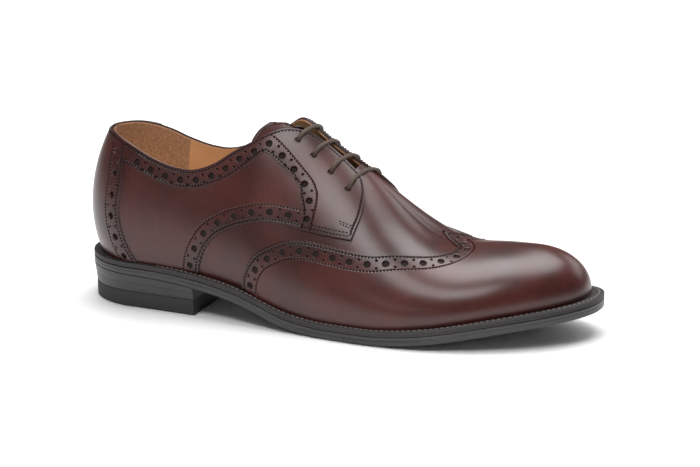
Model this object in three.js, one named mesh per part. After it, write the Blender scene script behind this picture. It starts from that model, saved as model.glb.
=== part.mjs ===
// A man's right wingtip derby shoe. Millimetres, +X to the toe, +Y to the medial side, +Z up.
// The floor is z = 0, and the origin is the middle of the shoe's box on the floor.
import * as THREE from "three";
import { mergeVertices } from "three/addons/utils/BufferGeometryUtils.js";

const { clamp, lerp, smoothstep } = THREE.MathUtils;

// Driving sizes
const SOLE_LENGTH = 306;
const BALL_WIDTH = 100.5; // sole, across the ball
const HEEL_HEIGHT = 20; // floor to the underside of the sole at its back
const HEEL_LENGTH = 77;
const TOE_SPRING = 15; // floor to the underside of the sole at its toe
const TOE_SWING = 9; // how far the toe tip lies to the medial side
const INSTEP_HEIGHT = 98; // feather line to the top of the instep

// Thicknesses and clearances
const GAP = 0.3; // between pieces that meet
const TONGUE_GAP = 0.5; // the tongue lies loose under the upper
const UPPER_WALL = 1.6;
const OVERLAY_THICKNESS = 1.2; // wing cap, quarters and heel counter
const TONGUE_THICKNESS = 2.2;
const OUTSOLE_THICKNESS = 5;
const HEEL_SKIVE = 1.2; // the outsole is this much thinner at its back
const WELT_THICKNESS = 2.9;
const WELT_SEAT = 4; // how far the welt reaches in under the upper
const INSOLE_THICKNESS = 2.2; // above the welt; below it the insole fills the welt's ring
const TOP_PIECE_THICKNESS = 9;
const HEEL_LIFTS = 2;
const HEEL_TAPER = 1.2; // inset of the heel's foot from its seat
const EDGE_BEVEL = 0.8;
const LACE_DIAMETER = 2.7;

// How finely the pieces are faceted
const COLUMNS = 88; // round the upper
const ROWS = 13; // feather line to spine
const SOLE_COLUMNS = 88;
const HEEL_COLUMNS = 32;
const LACE_SIDES = 8;
const LACE_STEPS = 12;

const table = (columns, rows) =>
  rows.map((row) => Object.fromEntries(columns.map((name, i) => [name, row[i]])));

// Sole outline: shares of SOLE_LENGTH, then half widths as shares of BALL_WIDTH.
const PLAN = table(
  ["station", "lateral", "medial"],
  [
    [0.0, 0.308, 0.308],
    [0.1, 0.323, 0.323],
    [0.2, 0.348, 0.328],
    [0.3, 0.383, 0.308],
    [0.4, 0.438, 0.284],
    [0.5, 0.488, 0.313],
    [0.6, 0.522, 0.398],
    [0.7, 0.527, 0.473],
    [0.8, 0.498, 0.468],
    [0.9, 0.453, 0.428],
    [1.0, 0.393, 0.378],
  ],
);
const HEEL_ROUND = 0.115; // share of the length that the heel's rounding takes
const TOE_ROUND = 0.36; // and the toe's
const TOE_POWER = 2.33; // over 2, so the toe is a little squarer than an ellipse
const SWING_START = 0.6;

// Underside of the sole above the floor: shares of HEEL_HEIGHT and of TOE_SPRING.
const UNDERSIDE = table(
  ["station", "heel", "toe"],
  [
    [0.0, 1.0, 0],
    [0.25, 0.82, 0],
    [0.35, 0.565, 0],
    [0.45, 0.12, 0],
    [0.52, 0, 0],
    [0.62, 0, 0],
    [0.72, 0, 0.173],
    [0.85, 0, 0.6],
    [1.0, 0, 1.0],
  ],
);

// Cross-sections of the last. Spine and walls rise by shares of INSTEP_HEIGHT. Half widths, flares
// and the ridge's shift are shares of BALL_WIDTH, and a crown is a share of its half width.
const LATERAL = 0;
const MEDIAL = 1;
const SECTIONS = [
  table(
    ["station", "spine", "ridge", "width", "flare", "wall", "crown"],
    [
      [0.0, 0.983, 0, 0.274, 0.07, 0.408, 0.7],
      [0.15, 0.967, 0, 0.299, 0.06, 0.429, 0.62],
      [0.3, 0.911, 0, 0.338, 0.045, 0.449, 0.45],
      [0.4, 1.003, 0.003, 0.388, 0.03, 0.449, 0.36],
      [0.5, 0.878, 0.012, 0.433, 0.03, 0.408, 0.32],
      [0.6, 0.718, 0.03, 0.468, 0.04, 0.327, 0.38],
      [0.68, 0.527, 0.044, 0.473, 0.05, 0.255, 0.44],
      [0.78, 0.341, 0.047, 0.448, 0.06, 0.194, 0.51],
      [0.9, 0.282, 0.025, 0.398, 0.06, 0.153, 0.71],
      [1.0, 0.258, 0, 0.338, 0.06, 0.122, 0.8],
    ],
  ),
  table(
    ["station", "spine", "ridge", "width", "flare", "wall", "crown"],
    [
      [0.0, 0.983, 0, 0.274, 0.07, 0.408, 0.7],
      [0.15, 0.967, 0, 0.294, 0.06, 0.429, 0.62],
      [0.3, 0.911, 0, 0.269, 0.08, 0.469, 0.5],
      [0.4, 1.003, 0.003, 0.244, 0.1, 0.469, 0.5],
      [0.5, 0.878, 0.012, 0.274, 0.09, 0.429, 0.43],
      [0.6, 0.718, 0.03, 0.348, 0.07, 0.367, 0.45],
      [0.68, 0.527, 0.044, 0.413, 0.06, 0.286, 0.5],
      [0.78, 0.341, 0.047, 0.413, 0.06, 0.204, 0.54],
      [0.9, 0.282, 0.025, 0.373, 0.06, 0.153, 0.71],
      [1.0, 0.258, 0, 0.323, 0.06, 0.122, 0.8],
    ],
  ),
];
// The last's back and front in profile, feather line to spine: Bezier points in shares of SOLE_LENGTH.
const BACK = [0.0209, -0.0327, 0.0608, 0.1454];
const FRONT = [0.9725, 0.9775, 0.9359, 0.865];

// Pattern lines on the last. Station runs heel to toe and rise from feather line to spine, 0 to 1.
const TOPLINES = [
  table(
    ["station", "rise"],
    [
      [0.0, 0.578],
      [0.035, 0.568],
      [0.07, 0.545],
      [0.1, 0.521],
      [0.15, 0.479],
      [0.2, 0.461],
      [0.24, 0.475],
      [0.276, 0.535],
      [0.305, 0.622],
      [0.34, 0.691],
      [0.374, 0.759],
      [0.408, 0.823],
      [0.445, 0.886],
      [0.491, 0.911],
      [0.546, 0.878],
      [0.62, 0.83],
    ],
  ),
  table(
    ["station", "rise"],
    [
      [0.0, 0.578],
      [0.035, 0.568],
      [0.07, 0.545],
      [0.1, 0.521],
      [0.15, 0.479],
      [0.2, 0.461],
      [0.24, 0.475],
      [0.276, 0.525],
      [0.305, 0.588],
      [0.34, 0.65],
      [0.365, 0.7],
      [0.38, 0.755],
      [0.395, 0.83],
      [0.412, 0.885],
      [0.45, 0.908],
      [0.51, 0.908],
      [0.566, 0.878],
      [0.64, 0.83],
    ],
  ),
];
const COUNTER_FRONT = table(
  ["rise", "station"],
  [
    [0.0, 0.117],
    [0.056, 0.11],
    [0.113, 0.104],
    [0.2, 0.098],
    [0.377, 0.096],
    [0.5, 0.082],
    [0.6, 0.068],
  ],
);
const QUARTER_FOOT = table(
  ["station", "rise"],
  [
    [0.25, -0.03],
    [0.262, 0.046],
    [0.271, 0.086],
    [0.281, 0.126],
    [0.3, 0.185],
    [0.327, 0.235],
    [0.369, 0.287],
    [0.409, 0.332],
    [0.45, 0.365],
    [0.491, 0.39],
    [0.543, 0.419],
    [0.62, 0.48],
    [0.66, 0.51],
  ],
);
const FACING_FRONT = table(
  ["rise", "station"],
  [
    [0.4, 0.583],
    [0.5, 0.589],
    [0.612, 0.593],
    [0.688, 0.591],
    [0.758, 0.586],
    [0.807, 0.578],
    [0.851, 0.566],
    [0.878, 0.546],
    [0.91, 0.5],
  ],
);
const WING_EDGE = table(
  ["station", "rise"],
  [
    [0.347, -0.03],
    [0.358, 0.058],
    [0.366, 0.098],
    [0.386, 0.172],
    [0.42, 0.248],
    [0.45, 0.302],
    [0.494, 0.348],
    [0.557, 0.382],
    [0.597, 0.406],
    [0.635, 0.447],
    [0.672, 0.516],
    [0.71, 0.583],
    [0.748, 0.662],
    [0.769, 0.722],
    [0.792, 0.817],
    [0.8, 0.869],
    [0.808, 1.0],
  ],
);
// The wing's peak in plan, in shares of SOLE_LENGTH and BALL_WIDTH, and how fast its sides fall back.
const WING_PEAK = { along: 0.69, across: 0.11, fall: 1 };
const MEDIAL_LEAD = 0.02; // how far the medial facing reaches ahead of the lateral one, in stations
const THROAT_END = 0.54; // station where the vamp closes over the instep
// The tongue's end slants back towards the spine, and its middle sags between the facings.
const TONGUE = { top: 0.305, slant: 0.06, foot: 0.62, rise: 0.7, sagRise: 0.94 };
const TONGUE_SAG = table(
  ["station", "depth"],
  [
    [0.3, 1.2],
    [0.34, 3.0],
    [0.38, 6.0],
    [0.42, 4.0],
    [0.46, 1.0],
    [0.5, 0.1],
    [0.54, 0.0],
    [0.62, 0.0],
  ],
);
const EYELETS = table(
  ["lateral", "medial", "rise"],
  [
    [0.425, 0.439, 0.763],
    [0.464, 0.481, 0.75],
    [0.508, 0.528, 0.728],
    [0.552, 0.574, 0.699],
  ],
);

// Smooth curve through one column of a table.
function read(rows, column, at, key = "station") {
  const end = rows.length - 1;
  const x = clamp(at, rows[0][key], rows[end][key]);
  const span = (j) => rows[j + 1][key] - rows[j][key];
  const slope = (j) => (rows[j + 1][column] - rows[j][column]) / span(j);
  const tangent = (j) => {
    if (j === 0) return slope(0);
    if (j === end) return slope(end - 1);
    return (slope(j - 1) * span(j) + slope(j) * span(j - 1)) / (span(j - 1) + span(j));
  };
  let i = 0;
  while (i < end - 1 && x > rows[i + 1][key]) i++;
  const t = (x - rows[i][key]) / span(i);
  const rest = 1 - t;
  return (
    (1 + 2 * t) * rest * rest * rows[i][column] +
    t * rest * rest * span(i) * tangent(i) +
    t * t * (3 - 2 * t) * rows[i + 1][column] -
    t * t * rest * span(i) * tangent(i + 1)
  );
}

function bezier(points, t) {
  const rest = 1 - t;
  const [a, b, c, d] = points;
  return a * rest ** 3 + 3 * b * t * rest ** 2 + 3 * c * t ** 2 * rest + d * t ** 3;
}

// A turn round the shoe is an angle: 0 at the heel, then the medial side, half a turn at the toe.
const stationAt = (turn) => (1 - Math.cos(turn)) / 2;
const turnAt = (station) => Math.acos(1 - 2 * station);
const sideAt = (turn) => (Math.sin(turn) < 0 ? LATERAL : MEDIAL);

// How much of its width the plan keeps at a station, rounded off at heel and toe.
function rounding(station) {
  const heel = clamp((HEEL_ROUND - station) / HEEL_ROUND, 0, 1);
  const toe = clamp((station - (1 - TOE_ROUND)) / TOE_ROUND, 0, 1);
  return Math.sqrt(1 - heel * heel) * (1 - toe ** TOE_POWER) ** (1 / TOE_POWER);
}

const centreLine = (station) => TOE_SWING * clamp((station - SWING_START) / (1 - SWING_START), 0, 1) ** 2;

function underside(x) {
  const station = x / SOLE_LENGTH;
  const rise = HEEL_HEIGHT * read(UNDERSIDE, "heel", station) + TOE_SPRING * read(UNDERSIDE, "toe", station);
  return Math.max(0, rise);
}
const outsoleTop = (x) => {
  const skive = HEEL_SKIVE * clamp(1 - x / HEEL_LENGTH, 0, 1);
  return underside(x) + OUTSOLE_THICKNESS - skive;
};
const weltFoot = (x) => outsoleTop(x) + GAP;
const weltTop = (x) => weltFoot(x) + WELT_THICKNESS;
const featherHeight = (x) => weltTop(x) + GAP;

function solePlan(turn) {
  const station = stationAt(turn);
  const side = sideAt(turn);
  const half = BALL_WIDTH * read(PLAN, side === LATERAL ? "lateral" : "medial", station);
  const y = (side === LATERAL ? -half : half) * rounding(station) + centreLine(station);
  return new THREE.Vector3(station * SOLE_LENGTH, y, 0);
}

// A point of the last at a turn and a rise. Past the spine it comes down the other side.
function lastPoint(turn, rise) {
  if (rise > 1) return lastPoint(-turn, 2 - rise);
  const station = stationAt(turn);
  const side = sideAt(turn);
  const outward = side === LATERAL ? -1 : 1;
  const section = (column) => read(SECTIONS[side], column, station);
  const half = BALL_WIDTH * section("width");
  const flare = BALL_WIDTH * section("flare");
  const spine = INSTEP_HEIGHT * section("spine");
  const wall = INSTEP_HEIGHT * section("wall");
  const spread = bezier([half, half + flare, half * section("crown"), 0], rise) * rounding(station);
  const ridge = BALL_WIDTH * section("ridge") * bezier([0, 0, 1, 1], rise);
  const footX = SOLE_LENGTH * lerp(BACK[0], FRONT[0], station);
  return new THREE.Vector3(
    SOLE_LENGTH * lerp(bezier(BACK, rise), bezier(FRONT, rise), station),
    outward * spread + ridge + centreLine(footX / SOLE_LENGTH),
    featherHeight(footX) + bezier([0, wall, spine, spine], rise),
  );
}

// Outward normal of the last. Close to the feather line it lies level, so a wall's foot is flat.
const NORMAL_STEP = 1e-3;
const SPINE_STEP = 0.02; // a normal that has no direction on the spine is read this far below it
const LEVEL_FOOT = 0.08;
function lastNormal(turn, rise) {
  const along = lastPoint(turn + NORMAL_STEP, rise).sub(lastPoint(turn - NORMAL_STEP, rise));
  const up = lastPoint(turn, rise + NORMAL_STEP).sub(lastPoint(turn, Math.max(rise - NORMAL_STEP, 0)));
  const normal = up.cross(along);
  if (normal.length() < NORMAL_STEP ** 2) return lastNormal(turn, rise - SPINE_STEP);
  normal.normalize();
  normal.z *= smoothstep(rise, 0, LEVEL_FOOT);
  return normal.normalize();
}
const offsetPoint = (turn, rise, offset) =>
  lastPoint(turn, rise).addScaledVector(lastNormal(turn, rise), offset);

function solid(points, triangles) {
  const geometry = new THREE.BufferGeometry().setFromPoints(points);
  geometry.setIndex(triangles.flat());
  return geometry;
}

// A leather piece: the part of the last where keep(turn, rise) is positive, between two offsets.
const SNAP = 0.25; // a grid point this close to the piece's edge, in cells, moves onto it
const HALVINGS = 20; // of a cell's side, to find where the edge crosses it
const ON_EDGE = 0;
const flat = () => 0;
function leather(keep, inner, outer, lift = flat) {
  const nodes = [];
  for (let j = 0; j <= ROWS; j++)
    for (let i = 0; i < COLUMNS; i++) {
      const node = { turn: (2 * Math.PI * i) / COLUMNS, rise: j / ROWS, row: j };
      node.inside = keep(node.turn, node.rise);
      nodes.push(node);
    }
  const nodeAt = (i, j) => {
    let column = i % COLUMNS;
    if (j === ROWS && column > COLUMNS / 2) column = COLUMNS - column;
    return j * COLUMNS + column;
  };
  const cells = [];
  for (let j = 0; j < ROWS; j++)
    for (let i = 0; i < COLUMNS; i++) {
      const [a, b, c, d] = [nodeAt(i, j), nodeAt(i + 1, j), nodeAt(i + 1, j + 1), nodeAt(i, j + 1)];
      cells.push([a, c, b], [a, d, c]);
    }

  // The same place on the last, written with the turn that is nearest to another node's.
  const beside = (node, other) => {
    const turns = node.rise === 1 ? [node.turn, -node.turn] : [node.turn];
    const whole = 2 * Math.PI;
    const near = turns.map((turn) => turn + whole * Math.round((other.turn - turn) / whole));
    near.sort((p, q) => Math.abs(p - other.turn) - Math.abs(q - other.turn));
    return { turn: near[0], rise: node.rise };
  };
  const crossing = (p, q) => {
    let [from, to] = p.inside > 0 ? [p, beside(q, p)] : [q, beside(p, q)];
    let [low, high] = [0, 1];
    const at = (t) => ({ turn: lerp(from.turn, to.turn, t), rise: lerp(from.rise, to.rise, t) });
    for (let n = 0; n < HALVINGS; n++) {
      const middle = (low + high) / 2;
      const place = at(middle);
      if (keep(place.turn, place.rise) > 0) low = middle;
      else high = middle;
    }
    return { ...at(low), share: p.inside > 0 ? low : 1 - low };
  };
  const edges = new Map();
  for (const cell of cells)
    cell.forEach((p, k) => {
      const q = cell[(k + 1) % 3];
      edges.set(`${Math.min(p, q)} ${Math.max(p, q)}`, [Math.min(p, q), Math.max(p, q)]);
    });
  const moves = new Map();
  for (const [p, q] of edges.values()) {
    if (nodes[p].inside > 0 === nodes[q].inside > 0) continue;
    const cut = crossing(nodes[p], nodes[q]);
    const end = cut.share < SNAP ? p : cut.share > 1 - SNAP ? q : null;
    if (end === null) continue;
    const onRim = nodes[end].row === 0 || nodes[end].row === ROWS;
    if (onRim && nodes[p].row !== nodes[q].row) continue;
    const distance = Math.min(cut.share, 1 - cut.share);
    if (!moves.has(end) || moves.get(end).distance > distance) moves.set(end, { ...cut, distance });
  }
  for (const [end, cut] of moves)
    Object.assign(nodes[end], { turn: cut.turn, rise: cut.rise, inside: ON_EDGE });

  const cuts = new Map();
  const cutBetween = (p, q) => {
    const key = `${Math.min(p, q)} ${Math.max(p, q)}`;
    if (!cuts.has(key)) {
      const { turn, rise } = crossing(nodes[p], nodes[q]);
      cuts.set(key, nodes.push({ turn, rise, inside: ON_EDGE }) - 1);
    }
    return cuts.get(key);
  };
  const faces = [];
  for (const cell of cells) {
    if (!cell.some((p) => nodes[p].inside > 0)) continue;
    const outline = [];
    cell.forEach((p, k) => {
      const q = cell[(k + 1) % 3];
      if (nodes[p].inside >= 0) outline.push(p);
      if (nodes[p].inside * nodes[q].inside < 0) outline.push(cutBetween(p, q));
    });
    for (let k = 1; k + 1 < outline.length; k++) faces.push([outline[0], outline[k], outline[k + 1]]);
  }

  const used = [...new Set(faces.flat())];
  const place = new Map(used.map((node, k) => [node, k]));
  const points = [outer, inner].flatMap((offset) =>
    used.map((node) => {
      const { turn, rise } = nodes[node];
      return offsetPoint(turn, rise, offset + lift(turn, rise));
    }),
  );
  const under = (p) => p + used.length;
  const skin = faces.map((face) => face.map((node) => place.get(node)));
  const sides = new Set(skin.flatMap(([a, b, c]) => [`${a} ${b}`, `${b} ${c}`, `${c} ${a}`]));
  const rim = [];
  for (const side of sides) {
    const [p, q] = side.split(" ").map(Number);
    if (!sides.has(`${q} ${p}`)) rim.push([q, p, under(p)], [q, under(p), under(q)]);
  }
  const lining = skin.map(([a, b, c]) => [under(a), under(c), under(b)]);
  return solid(points, [...skin, ...lining, ...rim]);
}

// Pattern pieces: each function is positive inside its piece
const belowTopline = (station, rise, side) => read(TOPLINES[side], "rise", station) - rise;
const behindCounterFront = (station, rise) => read(COUNTER_FRONT, "station", rise, "rise") - station;
const facingFront = (rise, side) =>
  read(FACING_FRONT, "station", rise, "rise") + (side === MEDIAL ? MEDIAL_LEAD : 0);
const onPiece = (test) => (turn, rise) => test(stationAt(turn), rise, sideAt(turn));

const upperShape = onPiece((station, rise, side) =>
  Math.max(belowTopline(station, rise, side), station - THROAT_END),
);
const counterShape = onPiece((station, rise, side) =>
  Math.min(behindCounterFront(station, rise), belowTopline(station, rise, side)),
);
const SEAM = (2 * GAP) / SOLE_LENGTH;
const quarterShape = (side) =>
  onPiece((station, rise, where) =>
    where !== side
      ? -1
      : Math.min(
          belowTopline(station, rise, side),
          -behindCounterFront(station, rise) - SEAM,
          rise - read(QUARTER_FOOT, "rise", station),
          facingFront(rise, side) - station,
        ),
  );
function wingShape(turn, rise) {
  const point = lastPoint(turn, rise);
  const fallBack = WING_PEAK.fall * Math.abs(point.y - WING_PEAK.across * BALL_WIDTH);
  const beyondPeak = (point.x - fallBack) / SOLE_LENGTH - WING_PEAK.along;
  const belowEdge = read(WING_EDGE, "rise", stationAt(turn)) - rise;
  return stationAt(turn) < THROAT_END ? belowEdge : Math.max(belowEdge, beyondPeak);
}
const tongueShape = onPiece((station, rise) => {
  const end = TONGUE.top + TONGUE.slant * (1 - rise);
  return Math.min(station - end, TONGUE.foot - station, rise - TONGUE.rise);
});
const tongueSag = onPiece((station, rise) => {
  const depth = Math.max(read(TONGUE_SAG, "depth", station), 0);
  return -depth * smoothstep(rise, TONGUE.rise, TONGUE.sagRise);
});

// A slab of sole or heel: loops of points stacked upwards, capped by strips from side to side.
function slab(loops, closed) {
  const count = loops[0].length;
  const points = loops.flat();
  const at = (level, k) => level * count + ((k + count) % count);
  const triangles = [];
  for (let level = 0; level + 1 < loops.length; level++)
    for (let k = 0; k < count; k++) {
      const [a, b] = [at(level, k), at(level, k + 1)];
      const [d, c] = [at(level + 1, k), at(level + 1, k + 1)];
      triangles.push([a, c, b], [a, d, c]);
    }
  const top = loops.length - 1;
  const last = closed ? count : count - 1; // point k lies across from point last - k
  for (let k = 0; k < last - k; k++) {
    const [p, q, r, s] = [k, k + 1, last - k - 1, last - k];
    const across = [
      [p, q, r],
      [p, r, s],
    ].filter((t) => new Set(t.map((n) => n % count)).size === 3);
    for (const [a, b, c] of across)
      triangles.push([at(0, a), at(0, b), at(0, c)], [at(top, a), at(top, c), at(top, b)]);
  }
  return solid(points, triangles);
}

// A ring: loops of points stacked round its section, the last one joined to the first.
function ring(loops) {
  const count = loops[0].length;
  const at = (level, k) => (level % loops.length) * count + (k % count);
  const triangles = [];
  for (let level = 0; level < loops.length; level++)
    for (let k = 0; k < count; k++) {
      const [a, b] = [at(level, k), at(level, k + 1)];
      const [d, c] = [at(level + 1, k), at(level + 1, k + 1)];
      triangles.push([a, c, b], [a, d, c]);
    }
  return solid(loops.flat(), triangles);
}

const soleTurns = Array.from({ length: SOLE_COLUMNS }, (_, k) => (2 * Math.PI * k) / SOLE_COLUMNS);
const heelTurns = Array.from({ length: HEEL_COLUMNS + 1 }, (_, k) =>
  lerp(-1, 1, k / HEEL_COLUMNS) * turnAt(HEEL_LENGTH / SOLE_LENGTH),
);
const featherPlan = (turn) => lastPoint(turn, 0).setZ(0);

// A loop round the sole, moved in from a plan curve and laid at the height that belongs to each x.
function loop(turns, plan, inset, height) {
  return turns.map((turn) => {
    const along = plan(turn + NORMAL_STEP).sub(plan(turn - NORMAL_STEP)).normalize();
    const inward = new THREE.Vector3(along.y, -along.x, 0);
    const point = plan(turn).addScaledVector(inward, inset);
    return point.setZ(height(point.x));
  });
}

function outsole() {
  const edge = (inset, height) => loop(soleTurns, solePlan, inset, height);
  return slab(
    [
      edge(EDGE_BEVEL, underside),
      edge(0, (x) => underside(x) + EDGE_BEVEL),
      edge(0, outsoleTop),
    ],
    true,
  );
}

function welt() {
  return ring([
    loop(soleTurns, solePlan, 0, weltFoot),
    loop(soleTurns, solePlan, 0, (x) => weltTop(x) - EDGE_BEVEL),
    loop(soleTurns, solePlan, EDGE_BEVEL, weltTop),
    loop(soleTurns, featherPlan, WELT_SEAT, weltTop),
    loop(soleTurns, featherPlan, WELT_SEAT, weltFoot),
  ]);
}

function insole() {
  const shoulder = (x) => weltTop(x) + GAP;
  const top = (x) => shoulder(x) + INSOLE_THICKNESS;
  const filler = (height) => loop(soleTurns, featherPlan, WELT_SEAT + GAP, height);
  const bed = (height) => loop(soleTurns, featherPlan, UPPER_WALL + GAP, height);
  return slab([filler(weltFoot), filler(shoulder), bed(shoulder), bed(top)], true);
}

function heelSlab(levels) {
  const tilted = levels.map(({ inset, height }) => {
    const edge = loop(heelTurns, solePlan, inset, height);
    for (const end of [0, edge.length - 1]) edge[end].setX(HEEL_LENGTH).setZ(height(HEEL_LENGTH));
    return edge;
  });
  return slab(tilted, false);
}

// A lift's share of the way from the top piece to the sole also sets its taper.
function heelLift(number) {
  const level = (share, gap) => ({
    inset: HEEL_TAPER * (1 - share),
    height: (x) => lerp(TOP_PIECE_THICKNESS + GAP, underside(x), share) - gap,
  });
  return heelSlab([level(number / HEEL_LIFTS, 0), level((number + 1) / HEEL_LIFTS, GAP)]);
}

function heelTopPiece() {
  return heelSlab([
    { inset: HEEL_TAPER + EDGE_BEVEL, height: () => 0 },
    { inset: HEEL_TAPER, height: () => EDGE_BEVEL },
    { inset: HEEL_TAPER, height: () => TOP_PIECE_THICKNESS },
  ]);
}

const OVERLAY_FOOT = GAP;
const OVERLAY_FACE = GAP + OVERLAY_THICKNESS;
const TONGUE_FACE = -(UPPER_WALL + TONGUE_GAP);

// One bar of the lace, over both facings from eyelet to eyelet.
const BAR_CREST = 0.97; // rise of the bar's last guide point before the spine
function laceBar({ lateral, medial, rise }) {
  const radius = LACE_DIAMETER / 2;
  const side = (station, outward) =>
    [0, 0.5, 1].map((share) => {
      const across = lerp(rise, BAR_CREST, share);
      const along = lerp(station, (lateral + medial) / 2, (across - rise) / (1 - rise));
      return offsetPoint(outward * turnAt(along), across, OVERLAY_FACE + GAP + radius);
    });
  const path = new THREE.CatmullRomCurve3([...side(lateral, -1), ...side(medial, 1).reverse()]);
  const section = new THREE.Shape(
    Array.from({ length: LACE_SIDES }, (_, k) => {
      const angle = (2 * Math.PI * k) / LACE_SIDES;
      return new THREE.Vector2(radius * Math.cos(angle), radius * Math.sin(angle));
    }),
  );
  const tube = new THREE.ExtrudeGeometry(section, { steps: LACE_STEPS, extrudePath: path });
  tube.deleteAttribute("normal");
  tube.deleteAttribute("uv");
  return mergeVertices(tube);
}

const material = (color, roughness) => new THREE.MeshStandardMaterial({ color, roughness, metalness: 0 });
const polishedLeather = material(0x4a2824, 0.32);
const soleLeather = material(0x3a3a3b, 0.45);
const heelRubber = material(0x2b2b2c, 0.6);
const weltLeather = material(0x1c1a1a, 0.4);
const liningLeather = material(0xb98c58, 0.6);
const waxedCotton = material(0x66584c, 0.8);

const shoe = new THREE.Group();
function add(name, geometry, look) {
  geometry.computeVertexNormals();
  const mesh = new THREE.Mesh(geometry, look);
  mesh.name = name;
  shoe.add(mesh);
}

add("outsole", outsole(), soleLeather);
add("welt", welt(), weltLeather);
add("insole", insole(), liningLeather);
add("heel_top_piece", heelTopPiece(), heelRubber);
for (let k = 0; k < HEEL_LIFTS; k++) add(`heel_lift_${k + 1}`, heelLift(k), soleLeather);
add("upper", leather(upperShape, -UPPER_WALL, 0), polishedLeather);
const tongue = leather(tongueShape, TONGUE_FACE - TONGUE_THICKNESS, TONGUE_FACE, tongueSag);
add("tongue", tongue, polishedLeather);
add("wing_cap", leather(wingShape, OVERLAY_FOOT, OVERLAY_FACE), polishedLeather);
add("quarter_lateral", leather(quarterShape(LATERAL), OVERLAY_FOOT, OVERLAY_FACE), polishedLeather);
add("quarter_medial", leather(quarterShape(MEDIAL), OVERLAY_FOOT, OVERLAY_FACE), polishedLeather);
add("heel_counter", leather(counterShape, OVERLAY_FOOT, OVERLAY_FACE), polishedLeather);
EYELETS.forEach((eyelet, k) => add(`lace_bar_${k + 1}`, laceBar(eyelet), waxedCotton));

const box = new THREE.Box3().setFromObject(shoe);
shoe.position.set(-(box.min.x + box.max.x) / 2, -(box.min.y + box.max.y) / 2, 0);

export default shoe;
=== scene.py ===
"""A man's right wingtip derby shoe: polished brown leather, brogued edges, straight lacing, welted sole."""

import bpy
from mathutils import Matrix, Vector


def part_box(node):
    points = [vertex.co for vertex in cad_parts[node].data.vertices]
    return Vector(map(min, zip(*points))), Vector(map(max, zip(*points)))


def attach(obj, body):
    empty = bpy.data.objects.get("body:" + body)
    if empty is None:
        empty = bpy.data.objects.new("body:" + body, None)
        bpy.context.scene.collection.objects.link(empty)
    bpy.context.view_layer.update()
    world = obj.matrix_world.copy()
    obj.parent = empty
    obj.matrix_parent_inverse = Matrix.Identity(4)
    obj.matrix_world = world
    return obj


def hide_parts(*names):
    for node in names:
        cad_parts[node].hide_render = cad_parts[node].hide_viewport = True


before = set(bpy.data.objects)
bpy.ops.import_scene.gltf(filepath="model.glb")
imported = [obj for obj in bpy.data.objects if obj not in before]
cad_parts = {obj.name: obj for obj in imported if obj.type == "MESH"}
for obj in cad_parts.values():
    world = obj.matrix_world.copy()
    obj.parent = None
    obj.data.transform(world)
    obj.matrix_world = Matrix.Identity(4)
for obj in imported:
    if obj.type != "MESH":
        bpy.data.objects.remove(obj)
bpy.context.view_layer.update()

import math

import bpy
import numpy as np
from mathutils import Matrix, Vector
from mathutils.geometry import delaunay_2d_cdt
from mathutils.kdtree import KDTree

bl_info = {
    "name": "Wingtip derby shoe",
    "version": (1, 0, 0),
    "blender": (4, 5, 0),
    "location": "3D View > Sidebar > Shoe",
    "description": "Builds the leather, stitching, lacing and sole of a wingtip derby shoe around its solids",
    "category": "Object",
}

# ---------------------------------------------------------------------------------------------
# Sizes of the shoe's solids, in millimetres: X heel to toe, Y to the medial side, Z up
SOLE_LENGTH = 306.0
BALL_WIDTH = 100.5
HEEL_HEIGHT = 20.0
HEEL_LENGTH = 77.0
TOE_SPRING = 15.0
TOE_SWING = 9.0
INSTEP_HEIGHT = 98.0

GAP = 0.3
TONGUE_GAP = 0.5
UPPER_WALL = 1.6
OVERLAY = 1.2
TONGUE_THICKNESS = 2.2
OUTSOLE_THICKNESS = 5.0
HEEL_SKIVE = 1.2
WELT_THICKNESS = 2.9
WELT_SEAT = 4.0
TOP_PIECE_THICKNESS = 9.0
HEEL_LIFTS = 2
HEEL_TAPER = 1.2

OVERLAY_FACE = GAP + OVERLAY
STRIP_RISE = 0.55  # how far the collar and facing strip stands over the quarter
TONGUE_FACE = -(UPPER_WALL + TONGUE_GAP)


def table(columns, rows):
    data = np.array(rows, float)
    return {name: data[:, k] for k, name in enumerate(columns)}


PLAN = table(
    ("station", "lateral", "medial"),
    [
        (0.0, 0.308, 0.308), (0.1, 0.323, 0.323), (0.2, 0.348, 0.328), (0.3, 0.383, 0.308),
        (0.4, 0.438, 0.284), (0.5, 0.488, 0.313), (0.6, 0.522, 0.398), (0.7, 0.527, 0.473),
        (0.8, 0.498, 0.468), (0.9, 0.453, 0.428), (1.0, 0.393, 0.378),
    ],
)
HEEL_ROUND = 0.115
TOE_ROUND = 0.36
TOE_POWER = 2.33
SWING_START = 0.6
UNDERSIDE = table(
    ("station", "heel", "toe"),
    [
        (0.0, 1.0, 0), (0.25, 0.82, 0), (0.35, 0.565, 0), (0.45, 0.12, 0), (0.52, 0, 0), (0.62, 0, 0),
        (0.72, 0, 0.173), (0.85, 0, 0.6), (1.0, 0, 1.0),
    ],
)
SECTION_COLUMNS = ("station", "spine", "ridge", "width", "flare", "wall", "crown")
LATERAL = table(
    SECTION_COLUMNS,
    [
        (0.0, 0.983, 0, 0.274, 0.07, 0.408, 0.7), (0.15, 0.967, 0, 0.299, 0.06, 0.429, 0.62),
        (0.3, 0.911, 0, 0.338, 0.045, 0.449, 0.45), (0.4, 1.003, 0.003, 0.388, 0.03, 0.449, 0.36),
        (0.5, 0.878, 0.012, 0.433, 0.03, 0.408, 0.32), (0.6, 0.718, 0.03, 0.468, 0.04, 0.327, 0.38),
        (0.68, 0.527, 0.044, 0.473, 0.05, 0.255, 0.44), (0.78, 0.341, 0.047, 0.448, 0.06, 0.194, 0.51),
        (0.9, 0.282, 0.025, 0.398, 0.06, 0.153, 0.71), (1.0, 0.258, 0, 0.338, 0.06, 0.122, 0.8),
    ],
)
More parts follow.
